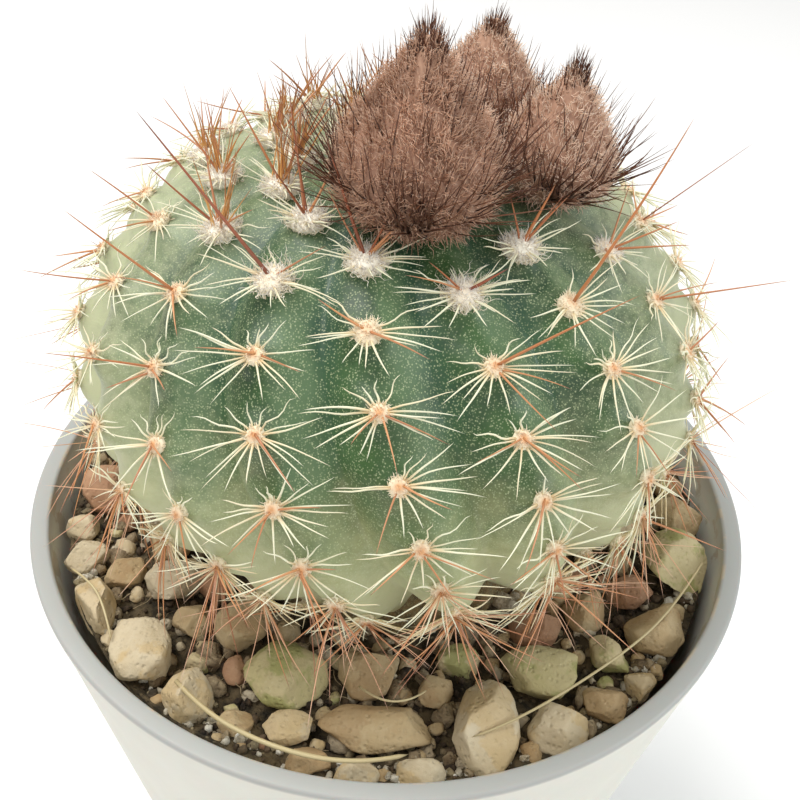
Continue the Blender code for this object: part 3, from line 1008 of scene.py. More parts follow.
@dataclass
class SpineCoat:
    """The areoles of the stem: felt pads, radial spines, central spines and the crown's wool."""

    stem: Stem
    buds: list[Bud]
    seed: int = 11
    lowest: float = math.radians(-46)
    highest: float = math.radians(84)
    young: float = math.radians(46)  # above this, the areoles are woolly
    crown: float = math.radians(52)  # above this, wool joins the areoles
    thicket: float = math.radians(66)  # above this, the spines stand in a thicket
    skirt: float = math.radians(-3)  # below this, spines reach out over the gravel
    radial_length: float = 4.2 * MM
    radial_radius: float = 0.074 * MM
    # rib, latitude, the azimuth and elevation that the spine points to, length, thickness, how orange
    marked: tuple[tuple[float, ...], ...] = (
        (15, 50, -105, 50, 11.0, 0.13, 0.1),
        (0, 60, -130, 60, 8.0, 0.12, 0.1),
        (14, 40, -90, 40, 7.5, 0.10, 0.9),
        (14, 30, -80, 15, 6.0, 0.08, 0.7),
        (1, 40, 95, 35, 8.5, 0.10, 0.8),
        (2, 45, 110, 60, 12.0, 0.12, 0.9),
        (3, 35, 80, 20, 7.5, 0.08, 0.8),
        (1, 55, 95, 35, 3.0, 0.12, 0.0),
        (1, 55, -60, 50, 3.5, 0.08, 0.4),
        (2, 60, 125, 60, 4.0, 0.13, 0.8),
        (2, 60, 110, 50, 4.0, 0.10, 0.5),
        (2, 60, -150, 60, 3.0, 0.09, 0.6),
        (14, 55, -95, 40, 5.5, 0.10, 0.3),
        (13, 40, -95, 40, 5.0, 0.08, 0.8),
        (13, 35, -75, 10, 5.5, 0.07, 0.8),
        (3, 50, 80, 15, 5.0, 0.09, 0.8),
        (3, 50, 90, 30, 4.5, 0.09, 0.9),
        (4, 50, 90, 45, 8.5, 0.05, 0.2),
        (15, 65, -150, 65, 8.0, 0.10, 0.3),
        (15, 65, -60, 60, 4.5, 0.10, 0.2),
        (0, 60, 100, 65, 4.0, 0.09, 0.3),
        (14, 65, -120, 55, 6.5, 0.10, 0.9),
        (13, 55, -110, 50, 5.5, 0.09, 0.9),
    )

    def __post_init__(self) -> None:
        """Works out where the areoles are."""
        places = []
        for rib in range(self.stem.ribs):
            start = self.stem.row_starts[rib]
            for row in range(-3, 8):
                latitude = (row + start) * self.stem.step
                if self.lowest < latitude < self.highest:
                    places.append((rib, latitude))
        place = np.array(places)
        spot, out, up, right = self.stem.frame_at(place[:, 0], place[:, 1])
        free = np.ones(len(place), bool)
        for bud in self.buds:
            aside = np.linalg.norm((spot - bud.foot)[:, :2], axis=1)
            free &= aside > bud.width * 0.62
        self.rib, self.latitude = place[free, 0], place[free, 1]
        self.spot, self.out, self.up, self.right = spot[free], out[free], up[free], right[free]
        self.age = np.clip((self.highest - self.latitude) / (self.highest - self.lowest), 0, 1)

    def build(self, finishes: Finishes) -> None:
        """Builds all that grows from the areoles.

        Args:
            finishes: the materials by name.
        """
        source = np.random.default_rng(self.seed)
        self._add_felt(source, finishes)
        self._add_radials(source, finishes)
        self._add_centrals(source, finishes)
        self._add_crown(source, finishes)

    def _lean(self, pick: Array, angle: Array, lift: Array) -> Array:
        """Directions from areoles, by the angle from upright and the lift off the skin."""
        flat = self.up[pick] * np.cos(angle)[:, None] + self.right[pick] * np.sin(angle)[:, None]
        return flat * np.cos(lift)[:, None] + self.out[pick] * np.sin(lift)[:, None]

    def _add_felt(self, source: Rng, finishes: Finishes) -> None:
        """Adds the felt pad of each areole: small and tan when old, large and white when young."""
        young = np.clip((self.latitude - self.young + 0.12) / 0.3, 0, 1)
        size = (0.60 + 0.52 * young) * MM
        self._add_pads(size, young, finishes)
        for name, chosen in (("areole_felt", young < 0.5), ("young_felt", young >= 0.5)):
            number = np.where(chosen, (105 + 225 * young).astype(int), 0)
            pick = np.repeat(np.arange(len(self.spot)), number)
            count = len(pick)
            edge = np.sqrt(source.uniform(0, 1, count))
            turn = source.uniform(0, 2 * math.pi, count)
            flat = self.up[pick] * np.cos(turn)[:, None] + self.right[pick] * np.sin(turn)[:, None]
            rise = (0.36 + 0.20 * young[pick]) * MM * np.sqrt(1 - edge**2)
            root = self.spot[pick] + flat * (size[pick] * edge)[:, None]
            root = root + self.out[pick] * (rise - 0.08 * MM)[:, None]
            direction = self.out[pick] * (1.2 - 0.75 * edge)[:, None] + flat * edge[:, None]
            direction = direction + source.normal(0, 0.3, (count, 3))
            length = (0.26 + 0.14 * young[pick]) * MM * source.uniform(0.6, 1.2, count)
            middle = np.clip(1.15 - 1.7 * edge, 0, 1) * (1 - young[pick])
            felt = Fibres(rings=3, sides=3, taper=0.4)
            felt.add(
                root, direction, length, 0.036 * MM, bend=source.normal(0, 0.25, (count, 3)),
                tint=np.clip(middle + source.normal(0, 0.15, count), 0, 1),
            )
            felt.place(name, source, finishes[name], "cactus_skin")

    def _add_pads(self, size: Array, young: Array, finishes: Finishes) -> None:
        """Adds the low dome under each areole's felt.

        Args:
            size: each dome's radius.
            young: how young each areole is, from 0 to 1.
            finishes: the materials by name.
        """
        rings, steps = 5, 14
        lean = np.linspace(math.radians(112), math.radians(10), rings)
        turn = 2 * math.pi * np.arange(steps) / steps
        flat = self.up[:, None] * np.cos(turn)[:, None] + self.right[:, None] * np.sin(turn)[:, None]
        tall = (0.36 + 0.20 * young) * MM
        wide = size[:, None, None, None] * np.sin(lean)[None, :, None, None] * flat[:, None]
        high = (tall[:, None] * np.cos(lean)[None])[..., None, None] * self.out[:, None, None]
        domes = self.spot[:, None, None] + wide + high
        count = len(domes)
        crest = self.spot + self.out * (tall * 1.02)[:, None]
        under = self.spot - self.out * (tall * 0.5)[:, None]
        points = np.concatenate([domes.reshape(-1, 3), crest, under])
        base = (np.arange(count) * rings * steps)[:, None, None]
        quads = (base + grid_faces(rings, steps)[None]).reshape(-1, 4)
        index, after = np.arange(steps), (np.arange(steps) + 1) % steps
        top = (rings - 1) * steps
        crests = np.broadcast_to((count * rings * steps + np.arange(count))[:, None], (count, steps))
        caps = np.stack([base[:, 0] + top + index, base[:, 0] + top + after, crests], -1)
        feet = np.stack([base[:, 0] + after, base[:, 0] + index, crests + count], -1)
        middle = np.clip(1.2 - 1.5 * np.sin(lean), 0, 1)[None] * (1 - young[:, None])
        pale = 0.5 + 0.5 * young
        values = {
            "along": np.concatenate([np.repeat(pale, rings * steps), pale, pale]),
            "tint": np.concatenate([np.repeat(middle.ravel(), steps), 1 - young, np.zeros(count)]),
        }
        faces = [quads, caps.reshape(-1, 3), feet.reshape(-1, 3)]
        mesh = make_mesh("areole_pads", points, faces, values)
        add_piece("areole_pads", mesh, finishes["areole_felt"])

    def _add_radials(self, source: Rng, finishes: Finishes) -> None:
        """Adds the pale radial spines: long to the sides, shorter below, short and curly above."""
        spokes = np.array([
            -172, -155, -139, -124, -109, -99, -90, -80, -66, -38, -18,
            6, 26, 44, 68, 81, 91, 100, 111, 126, 141, 158,
        ])
        count = len(self.spot) * len(spokes)
        pick = np.repeat(np.arange(len(self.spot)), len(spokes))
        angle = np.radians(np.tile(spokes, len(self.spot)) + source.normal(0, 5, count))
        sideways = np.abs(np.sin(angle))
        upward = np.clip(np.cos(angle), 0, 1)
        share = 0.66 + 0.34 * sideways**2 - 0.30 * upward
        length = self.radial_length * share * source.uniform(0.70, 1.12, count)
        young = np.clip((self.latitude[pick] - self.young) / 0.5, 0, 1)
        length = length * (1 - 0.25 * young)
        lift = np.radians(source.normal(13, 5, count) + 14 * upward + 20 * young)
        direction = self._lean(pick, angle, lift)
        root = self.spot[pick] + self._lean(pick, angle, 0 * lift) * 0.36 * MM + self.out[pick] * 0.14 * MM
        bend = -self.out[pick] * source.uniform(0.02, 0.14, (count, 1)) + source.normal(0, 0.06, (count, 3))
        bend = bend - self.up[pick] * (source.uniform(-0.06, 0.14, count) * sideways)[:, None]
        curl = 0.004 + 0.085 * upward * source.uniform(0, 1, count)
        there = source.uniform(0, 1, count) > 0.20 + 0.25 * upward
        low = np.clip((math.radians(0) - self.latitude[pick]) / 0.4, 0, 1)
        tint = np.clip(source.uniform(-0.6, 0.45, count) + 0.55 * low, 0, 1)
        radius = self.radial_radius * source.uniform(0.75, 1.15, count)
        radials = Fibres(rings=8, sides=5, taper=0.55)
        radials.add(
            root[there], direction[there], length[there], radius[there], bend=bend[there],
            curl=curl[there], tint=tint[there],
        )
        radials.place("radial_spines", source, finishes["radial"], "cactus_skin")

    def _add_centrals(self, source: Rng, finishes: Finishes) -> None:
        """Adds the orange and red-brown central spines, and the long ones at their own areoles."""
        spines = Fibres(rings=9, sides=6, taper=0.62)
        each = 4
        pick = np.repeat(np.arange(len(self.spot)), each)
        slot = np.tile(np.arange(each), len(self.spot))
        count = len(pick)
        young = np.clip((self.latitude[pick] - math.radians(40)) / 0.45, 0, 1)
        low = np.clip((math.radians(4) - self.latitude[pick]) / 0.4, 0, 1)
        aim = np.choose(slot, [-118.0, 112.0, 172.0, -165.0]) + source.normal(0, 24, count)
        aim = aim * (1 - 0.72 * young)
        lift = np.radians(source.normal(24, 8, count) + 32 * young + 10 * low)
        length = source.uniform(2.8, 4.8, count) * (1 + 0.35 * young + 0.55 * low) * MM
        direction = self._lean(pick, np.radians(aim), lift)
        root = self.spot[pick] + self.out[pick] * 0.22 * MM + source.normal(0, 0.09 * MM, (count, 3))
        chance = np.choose(slot, [0.55, 0.55, 0.45, 0.12]) + 0.35 * young + 0.45 * low
        keep = source.uniform(0, 1, count) < chance
        bend = source.normal(0, 0.07, (count, 3)) - self.up[pick] * source.uniform(0, 0.10, (count, 1))
        bend = bend - self.out[pick] * source.uniform(0, 0.12, (count, 1))
        tint = np.clip(source.uniform(0, 0.75, count) + 0.15 * young, 0, 1)
        radius = source.uniform(0.058, 0.088, count) * MM * (1 + 0.25 * young)
        spines.add(
            root[keep], direction[keep], length[keep], radius[keep], bend=bend[keep], tint=tint[keep]
        )
        spines.place("central_spines", source, finishes["central"], "cactus_skin")
        long_ones = Fibres(rings=14, sides=7, taper=0.62)
        for rib, latitude, towards, rise, reach, thick, orange in self.marked:
            there = (self.rib == rib) * 10.0 - np.abs(self.latitude - math.radians(latitude))
            chosen = np.array([there.argmax()])
            turn, level = math.radians(towards), math.cos(math.radians(rise))
            steep = math.sin(math.radians(rise))
            direction = np.array([[math.sin(turn) * level, -math.cos(turn) * level, steep]])
            long_ones.add(
                self.spot[chosen] + self.out[chosen] * 0.2 * MM, direction, np.array([reach * MM]),
                np.array([thick * MM]), bend=source.normal(0, 0.035, (1, 3)), tint=np.array([orange]),
            )
        self._add_skirt(source, finishes)
        long_ones.place("long_spines", source, finishes["dark_central"], "cactus_skin")

    def _add_skirt(self, source: Rng, finishes: Finishes) -> None:
        """Adds the long, spreading spines of the lowest areoles, which reach out over the gravel."""
        low = np.flatnonzero(self.latitude < self.skirt)
        pick = np.repeat(low, 7)
        count = len(pick)
        aim = source.uniform(-170, 170, count)
        aim = np.where(np.abs(aim) < 55, aim + 180, aim)
        lift = np.radians(source.uniform(18, 62, count))
        direction = self._lean(pick, np.radians(aim), lift) + [0, 0, 0.12]
        skirt = Fibres(rings=9, sides=5, taper=0.5)
        skirt.add(
            self.spot[pick] + self.out[pick] * 0.2 * MM, direction, source.uniform(2.8, 7.0, count) * MM,
            source.uniform(0.030, 0.056, count) * MM,
            bend=source.normal(0, 0.09, (count, 3)) - [0, 0, 0.05], tint=source.uniform(0, 1, count) ** 2,
        )
        skirt.place("low_spines", source, finishes["low_spine"], "cactus_skin")

    def _add_crown(self, source: Rng, finishes: Finishes) -> None:
        """Adds the crown's cream wool and its thicket of upright orange spines."""
        top = np.flatnonzero(self.latitude > self.crown)
        pick = np.repeat(top, 170)
        count = len(pick)
        turn = source.uniform(0, 2 * math.pi, count)
        flat = self.up[pick] * np.cos(turn)[:, None] + self.right[pick] * np.sin(turn)[:, None]
        root = self.spot[pick] + flat * (1.3 * MM * np.sqrt(source.uniform(0, 1, count)))[:, None]
        root = root - self.out[pick] * 0.15 * MM
        direction = self.out[pick] + [0, 0, 0.5] + flat * 0.5 + source.normal(0, 0.45, (count, 3))
        wool = Fibres(rings=6, sides=3, taper=0.5)
        wool.add(
            root, direction, source.uniform(0.4, 1.0, count) * MM, 0.036 * MM,
            bend=source.normal(0, 0.4, (count, 3)), curl=source.uniform(0.06, 0.2, count),
            tint=source.uniform(0, 0.5, count),
        )
        wool.place("crown_wool", source, finishes["crown_wool"], "cactus_skin")
        azimuth = np.degrees(np.arctan2(self.spot[top, 0], -self.spot[top, 1]))
        leftward = (azimuth < -42) | (azimuth > 95)
        innermost = self.latitude[top] > self.thicket
        pick = np.concatenate([np.repeat(top[innermost | leftward], 12), np.repeat(top[innermost], 4)])
        count = len(pick)
        angle = source.uniform(-1.7, 1.7, count)
        lift = np.radians(source.uniform(35, 85, count))
        direction = self._lean(pick, angle, lift) * 0.75 + [0, 0, 0.6] + source.normal(0, 0.2, (count, 3))
        spines = Fibres(rings=8, sides=5, taper=0.7)
        spines.add(
            self.spot[pick] + source.normal(0, 0.3 * MM, (count, 3)), direction,
            source.uniform(1.6, 2.3, count) ** 2 * MM, source.uniform(0.045, 0.080, count) * MM,
            bend=source.normal(0, 0.08, (count, 3)), tint=source.uniform(0, 1, count),
        )
        spines.place("crown_spines", source, finishes["crown_spine"], "cactus_skin")


# ---------------------------------------------------------------- the pot and what fills it


@dataclass
class Pot:
    """The tapered nursery pot with its plain rounded lip and drainage holes."""

    wall: float = 1.1 * MM
    lip_width: float = 1.4 * MM
    lip_height: float = 2.2 * MM
    edge: float = 0.28 * MM
    foot_radius: float = 19.0 * MM
    foot_ring: float = 2.4 * MM
    foot_lift: float = 1.0 * MM
    floor: float = 1.2 * MM
    steps: int = 216
    holes: int = 5
    hole_radius: float = 2.2 * MM
    hole_circle: float = 11.0 * MM
    hole_turn: float = math.radians(11)
    height: float = field(init=False)
    rim_radius: float = field(init=False)

    def __post_init__(self) -> None:
        """Reads the pot's height and rim from its node."""
        low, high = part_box("pot")
        self.height = high.z
        self.rim_radius = (high.x - low.x) / 2 + 0.07 * MM

    def radius(self, height: float) -> float:
        """The outer radius of the wall at a height."""
        return self.foot_radius + (self.rim_radius - self.foot_radius) * height / self.height

    @staticmethod
    def _arc(
        radius: float, height: float, start: float, end: float, size: float
    ) -> list[tuple[float, float]]:
        """A rounded corner of the profile, as points about a centre."""
        angles = np.radians(np.linspace(start, end, 5))
        return [(radius + size * math.cos(a), height + size * math.sin(a)) for a in angles]

    def _profile(self) -> list[tuple[float, float]]:
        """The wall's closed outline, from the middle of the underside round to the inside."""
        top, edge = self.height, self.edge
        inner = self.rim_radius - self.lip_width
        floor = self.foot_lift + self.floor
        outer = [(self.radius(z), z) for z in np.linspace(edge * 2, top - self.lip_height - 0.1 * MM, 10)]
        down = np.linspace(top - self.lip_height - edge, floor + edge * 2, 10)
        inside = [(self.radius(z) - self.wall, z) for z in down]
        return [
            (self.foot_radius - self.foot_ring - self.foot_lift, self.foot_lift),
            (self.foot_radius - self.foot_ring, edge * 0.3),
            (self.foot_radius - self.foot_ring + edge * 0.4, 0.0),
            *self._arc(self.foot_radius - edge, edge, -90, 0, edge),
            *outer,
            (self.radius(top - self.lip_height) + 0.04 * MM, top - self.lip_height),
            (self.rim_radius - 0.02 * MM, top - edge * 1.9),
            *self._arc(self.rim_radius - edge, top - edge, 0, 90, edge),
            *self._arc(inner + edge, top - edge, 90, 180, edge),
            (inner, top - self.lip_height),
            *inside,
            (self.radius(floor) - self.wall - edge * 1.5, floor),
        ]

    def build(self, material: Material) -> bpy.types.Object:
        """Builds the pot and cuts its drainage holes.

        Args:
            material: the plastic's finish.

        Returns:
            The piece.
        """
        profile = np.array(self._profile())
        turn = 2 * math.pi * np.arange(self.steps) / self.steps
        spread = np.stack([np.sin(turn), -np.cos(turn)], -1)
        heights = np.broadcast_to(profile[:, None, 1:], (len(profile), self.steps, 1))
        rings = np.concatenate([profile[:, None, :1] * spread[None], heights], -1)
        ends = np.array([[0, 0, self.foot_lift], [0, 0, self.foot_lift + self.floor]])
        high = profile[:, 1] > self.height - 0.75 * self.lip_height
        # The lip's flat top, painted grey by the plastic's finish as painted shade.
        top = np.clip((profile[:, 1] - (self.height - 0.40 * MM)) / (0.15 * MM), 0, 1) * high
        inside = np.linspace(0, 1, len(profile)) > 0.62
        values = {"lip": (top[:, None], (0, 0)), "soiled": (0.8 * inside[:, None], (0, 0))}
        mesh = closed_mesh("pot_shell", rings, ends, values)
        piece = add_piece("pot_shell", mesh, material, ("pot",))
        self._drill(piece)
        return piece

    def _drill(self, piece: bpy.types.Object) -> None:
        """Cuts the drainage holes through the base."""
        drills = bmesh.new()
        for i in range(self.holes):
            turn = self.hole_turn + 2 * math.pi * i / self.holes
            where = (self.hole_circle * math.cos(turn), self.hole_circle * math.sin(turn), self.foot_lift)
            bmesh.ops.create_cone(
                drills, cap_ends=True, segments=32, radius1=self.hole_radius, radius2=self.hole_radius,
                depth=4 * self.floor, matrix=Matrix.Translation(where),
            )
        mesh = bpy.data.meshes.new("drills")
        drills.to_mesh(mesh)
        drills.free()
        cutter = bpy.data.objects.new("drills", mesh)
        bpy.context.scene.collection.objects.link(cutter)
        cut = piece.modifiers.new("drain_holes", "BOOLEAN")
        cut.object = cutter
        cut.operation = "DIFFERENCE"
        evaluated = piece.evaluated_get(bpy.context.evaluated_depsgraph_get())
        cut_mesh = bpy.data.meshes.new_from_object(evaluated)
        piece.modifiers.clear()
        piece.data = cut_mesh
        piece.data.shade_smooth()
        piece.data.set_sharp_from_angle(angle=math.radians(50))
        bpy.data.objects.remove(cutter)


@dataclass
class Gravel:
    """The stones that lie on the soil, each a worn and chipped one of its own shape."""

    stem: Stem
    bed: SoilBed
    seed: int = 29
    chips: int = 11
    small_stones: int = 190
    small_size: tuple[float, float] = (0.5 * MM, 1.6 * MM)

    @staticmethod
    def _weather(ball: Array, source: Rng, chips: int) -> Array:
        """Chips flat faces off a rounded stone and roughens it.

        Args:
            ball: the stone's points about its middle, at a size of about 1.
            source: the random numbers.
            chips: how many faces.

        Returns:
            The weathered points.
        """
        ball = ball.copy()
        for _chip in range(chips):
            facing = unit(source.normal(0, 1, 3))
            reach = ball @ facing
            limit = reach.max() * source.uniform(0.60, 0.90)
            ball -= np.clip(reach - limit, 0, None)[:, None] * facing * source.uniform(0.90, 0.99)
        drift = source.uniform(-50, 50, 3)
        rough = [
            noise.fractal(Vector(p * 1.7 + drift), 1.0, 2.0, 3) * 0.07
            + noise.fractal(Vector(p * 7.0 + drift), 0.8, 2.0, 3) * 0.022
            for p in ball
        ]
        return ball * (1 + np.array(rough))[:, None]

    def stone(self, index: int, node: bpy.types.Object, soil: float) -> bpy.types.Mesh:
        """Makes one stone of the shape and size of its node.

        Args:
            index: its number, which sets its own chips and lumps.
            node: the plain solid that it stands for.
            soil: how high the soil is.

        Returns:
            The stone's mesh.
        """
        source = np.random.default_rng(self.seed * 1000 + index)
        bm = bmesh.new()
        bm.from_mesh(node.data)
        bmesh.ops.remove_doubles(bm, verts=bm.verts, dist=1e-6)
        bmesh.ops.subdivide_edges(bm, edges=bm.edges, cuts=4, use_grid_fill=True, smooth=0.5)
        bmesh.ops.triangulate(bm, faces=bm.faces)
        mesh = bpy.data.meshes.new(f"stone_{index:02d}")
        bm.to_mesh(mesh)
        bm.free()
        points = np.array([vertex.co[:] for vertex in mesh.vertices])
        low, high = points.min(0), points.max(0)
        centre, half = (low + high) / 2, (high - low) / 2
        ball = self._weather((points - centre) / half, source, self.chips)
        ball *= (1.0 / np.abs(ball).max(0)) ** 0.8
        points = ball * half * 1.12 + centre
        mesh.vertices.foreach_set("co", points.astype(np.float32).ravel())
        tint = np.full(len(points), source.uniform(0, 1))
        store(mesh, {"tint": tint, "sunk": np.clip((soil + 0.9 * MM - points[:, 2]) / (1.5 * MM), 0, 1)})
        return mesh

    def build(self, finishes: Finishes) -> None:
        """Builds every stone.

        Args:
            finishes: the materials by name.
        """
        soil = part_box("soil")[1].z
        slots = {row["node"]: row["material_slot"] for row in frame["record"]["subparts"]}
        taken = []
        for index, name in enumerate(sorted(n for n in frame["nodes"] if n.startswith("pebble_"))):
            mesh = self.stone(index, frame["nodes"][name], soil)
            add_piece(name.replace("pebble", "stone"), mesh, finishes[slots[name]], (name,))
            low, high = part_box(name)
            taken.append(((low.x + high.x) / 2, (low.y + high.y) / 2, (high.x - low.x + high.y - low.y) / 4))
        self._add_small_stones(taken, soil, finishes)

    def _add_small_stones(
        self, taken: list[tuple[float, float, float]], soil: float, finishes: Finishes
    ) -> None:
        """Fills the gaps between the stones with smaller ones.

        Args:
            taken: the middle and the reach of each stone that already lies there.
            soil: how high the soil is.
            finishes: the materials by name.
        """
        source = np.random.default_rng(self.seed)
        ball, faces = make_ball(3)
        outer = (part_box("soil")[1].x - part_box("soil")[0].x) / 2
        kinds = {kind: [] for kind in Stone}
        order = (Stone.CREAM, Stone.TAN, Stone.CREAM, Stone.MOSS, Stone.TAN, Stone.RED)
        placed = 0
        for _attempt in range(9000):
            size = source.uniform(*self.small_size)
            reach = math.sqrt(source.uniform((self.stem.neck_radius + size) ** 2, (outer - size * 0.8) ** 2))
            turn = source.uniform(0, 2 * math.pi)
            x, y = reach * math.sin(turn), -reach * math.cos(turn)
            if any(math.hypot(x - a, y - b) < (size + r) * 0.93 for a, b, r in taken):
                continue
            taken.append((x, y, size))
            stretch = source.uniform(0.75, 1.2, 3) * [1, 1, 0.8]
            rock = self._weather(ball * stretch, source, 8) * size
            spin = Matrix.Rotation(source.uniform(0, 2 * math.pi), 3, "Z")
            height = soil + self.bed.banked(reach) + size * source.uniform(0.15, 0.6)
            rock = rock @ np.array(spin) + [x, y, height]
            kinds[order[placed % len(order)]].append((rock, source.uniform(0, 1)))
            placed += 1
            if placed == self.small_stones:
                break
        for kind, rocks in kinds.items():
            points = np.concatenate([rock for rock, _tint in rocks])
            every = np.concatenate([faces + i * len(ball) for i in range(len(rocks))])
            values = {
                "tint": np.repeat([tint for _rock, tint in rocks], len(ball)),
                "sunk": np.clip((soil + 0.6 * MM - points[:, 2]) / (1.2 * MM), 0, 1),
            }
            name = f"small_stones_{kind.name.lower()}"
            add_piece(name, make_mesh(name, points, [every], values), finishes[kind.value])


@dataclass
class SoilBed:
    """The soil's crumbly top with crumbs, grit, root hairs and two dry straws."""

    stem: Stem
    seed: int = 5
    rise: float = 0.55 * MM
    bank: float = 1.0 * MM
    bank_width: float = 4.5 * MM
    foot_radius: float = 17.0 * MM
    hollow: float = 4.0 * MM  # how deep the root stock's hollow is
    steps: int = 300
    rings: int = 90
    crumbs: int = 2600
    grit: int = 620
    roots: int = 150
    rim_grit: int = 340
    # three places on each straw, each an azimuth, a distance from the axis and a height over the soil
    straws: tuple[tuple[tuple[float, ...], ...], ...] = (
        ((75, 24.6, 3.4), (44, 22.6, 3.7), (15, 23.0, 3.0)),
        ((-35, 23.4, 3.0), (-14, 24.9, 3.4), (5, 23.8, 3.0)),
        ((-67, 24.8, 2.6), (-58, 23.8, 3.3), (-50, 24.4, 2.4)),
        ((-4, 18.6, 2.6), (3, 20.0, 3.3), (10, 18.8, 2.6)),
        ((160, 22.0, 3.0), (140, 23.4, 3.5), (122, 23.0, 3.0)),
    )
    straw_thickness: tuple[float, ...] = (0.10, 0.17, 0.09, 0.08, 0.12)

    def __post_init__(self) -> None:
        """Reads the soil's size from its node."""
        low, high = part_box("soil")
        self.bottom, self.top = low.z, high.z
        self.outer = (high.x - low.x) / 2
        self.inner = self.stem.neck_radius - 0.2 * MM

    def height(self, x: Array, y: Array) -> Array:
        """The height of the soil's uneven top."""
        places = zip(np.ravel(x) * 420, np.ravel(y) * 420)
        lumps = np.array([noise.fractal(Vector((a, b, 3.1)), 1.0, 2.0, 5) for a, b in places])
        return self.top + self.rise * (0.2 + 0.9 * lumps.reshape(np.shape(x))) + self.banked(np.hypot(x, y))

    def banked(self, reach: Array | float) -> Array:
        """How much higher the soil lies near the wall, by the distance from the pot's axis."""
        return self.bank * np.clip(1 - (self.outer - reach) / self.bank_width, 0, 1) ** 1.6

    def build(self, finishes: Finishes) -> None:
        """Builds the soil and what lies in it.

        Args:
            finishes: the materials by name.
        """
        source = np.random.default_rng(self.seed)
        self._add_bed(finishes)
        self._scatter(source, finishes, "soil_crumbs", self.crumbs, (0.16, 0.55), 1, "crumb")
        self._scatter(source, finishes, "fine_grit", self.grit, (0.30, 0.95), 2, "grit")
        rim = self.outer - 2.2 * MM
        self._scatter(
            source, finishes, "rim_grit", self.rim_grit, (0.12, 0.46), 2, "white_grit", rim,
            math.radians(75),
        )
        self._add_roots(source, finishes)
        self._add_straws(source, finishes)

    def _add_bed(self, finishes: Finishes) -> None:
        """Adds the plug of soil with its uneven top."""
        turn = 2 * math.pi * np.arange(self.steps) / self.steps
        radii = np.linspace(self.outer - 0.1 * MM, self.inner, self.rings)
        x = radii[:, None] * np.sin(turn)[None]
        y = -radii[:, None] * np.cos(turn)[None]
        top = np.stack([x, y, self.height(x, y)], -1)
        foot, low = self.foot_radius, np.full(self.steps, self.bottom)
        below = np.stack([foot * np.sin(turn), -foot * np.cos(turn), low], -1)[None]
        inner = top[-1:].copy()
        inner[..., 2] = self.top - self.hollow
        ends = np.array([[0, 0, self.bottom], [0, 0, self.top - self.hollow]])
        rings = np.concatenate([below, top, inner])
        mesh = closed_mesh("soil_bed", rings, ends, {"tint": (np.zeros(1), (0, 0))})
        add_piece("soil_bed", mesh, finishes["potting_soil"], ("soil",))

    def _scatter(
        self,
        source: Rng,
        finishes: Finishes,
        name: str,
        count: int,
        sizes: tuple[float, float],
        detail: int,
        finish: str,
        inner: float = 0.0,
        arc: float = math.pi,
    ) -> None:
        """Scatters small lumps over the soil as one piece.

        Args:
            source: the random numbers.
            finishes: the materials by name.
            name: the piece's name.
            count: how many lumps.
            sizes: the smallest and largest radius, in millimetres.
            detail: how finely each is divided.
            finish: which material.
            inner: how near the pot's axis they may lie.
            arc: how far round from the front they may lie, to either side.
        """
        ball, faces = make_ball(detail)
        reach = np.sqrt(source.uniform(max(self.inner, inner) ** 2, (self.outer - 0.4 * MM) ** 2, count))
        turn = source.uniform(-arc, arc, count)
        x, y = reach * np.sin(turn), -reach * np.cos(turn)
        size = (sizes[0] + (sizes[1] - sizes[0]) * source.uniform(0, 1, count) ** 2.2) * MM
        spot = np.stack([x, y, self.height(x, y) + size * 0.25], -1)
        lumps = ball[None] * source.uniform(0.62, 1.15, (count, len(ball), 1))
        stretch = source.uniform(0.6, 1.25, (count, 1, 3))
        spin = source.uniform(0, 2 * math.pi, count)
        lumps = lumps * stretch * size[:, None, None]
        turned = np.stack([
            lumps[..., 0] * np.cos(spin)[:, None] - lumps[..., 1] * np.sin(spin)[:, None],
            lumps[..., 0] * np.sin(spin)[:, None] + lumps[..., 1] * np.cos(spin)[:, None],
            lumps[..., 2],
        ], -1)
        points = (turned + spot[:, None]).reshape(-1, 3)
        all_faces = (faces[None] + (np.arange(count) * len(ball))[:, None, None]).reshape(-1, 3)
        values = {
            "tint": np.repeat(source.uniform(0, 1, count), len(ball)),
            "sunk": np.zeros(count * len(ball)),
        }
        mesh = make_mesh(name, points, [all_faces], values)
        add_piece(name, mesh, finishes[finish])

    def _add_roots(self, source: Rng, finishes: Finishes) -> None:
        """Adds fine dry root hairs that lie across the soil."""
        reach = np.sqrt(source.uniform((self.inner + 1.5 * MM) ** 2, (self.outer - 2 * MM) ** 2, self.roots))
        turn = source.uniform(0, 2 * math.pi, self.roots)
        x, y = reach * np.sin(turn), -reach * np.cos(turn)
        root = np.stack([x, y, self.height(x, y) + source.uniform(0.2, 0.9, self.roots) * MM], -1)
        heading = source.uniform(0, 2 * math.pi, self.roots)
        direction = np.stack([np.cos(heading), np.sin(heading), source.normal(0, 0.12, self.roots)], -1)
        inward = -np.stack([x, y, np.zeros(self.roots)], -1) / reach[:, None]
        hairs = Fibres(rings=12, sides=4, taper=0.35)
        hairs.add(
            root, direction + inward * 0.5, source.uniform(1.5, 4.2, self.roots) * MM,
            source.uniform(0.02, 0.045, self.roots) * MM,
            bend=source.normal(0, 0.22, (self.roots, 3)) * [1, 1, 0.3],
            curl=source.uniform(0.02, 0.09, self.roots), tint=source.uniform(0, 1, self.roots),
        )
        hairs.place("root_hairs", source, finishes["root"], "potting_soil")

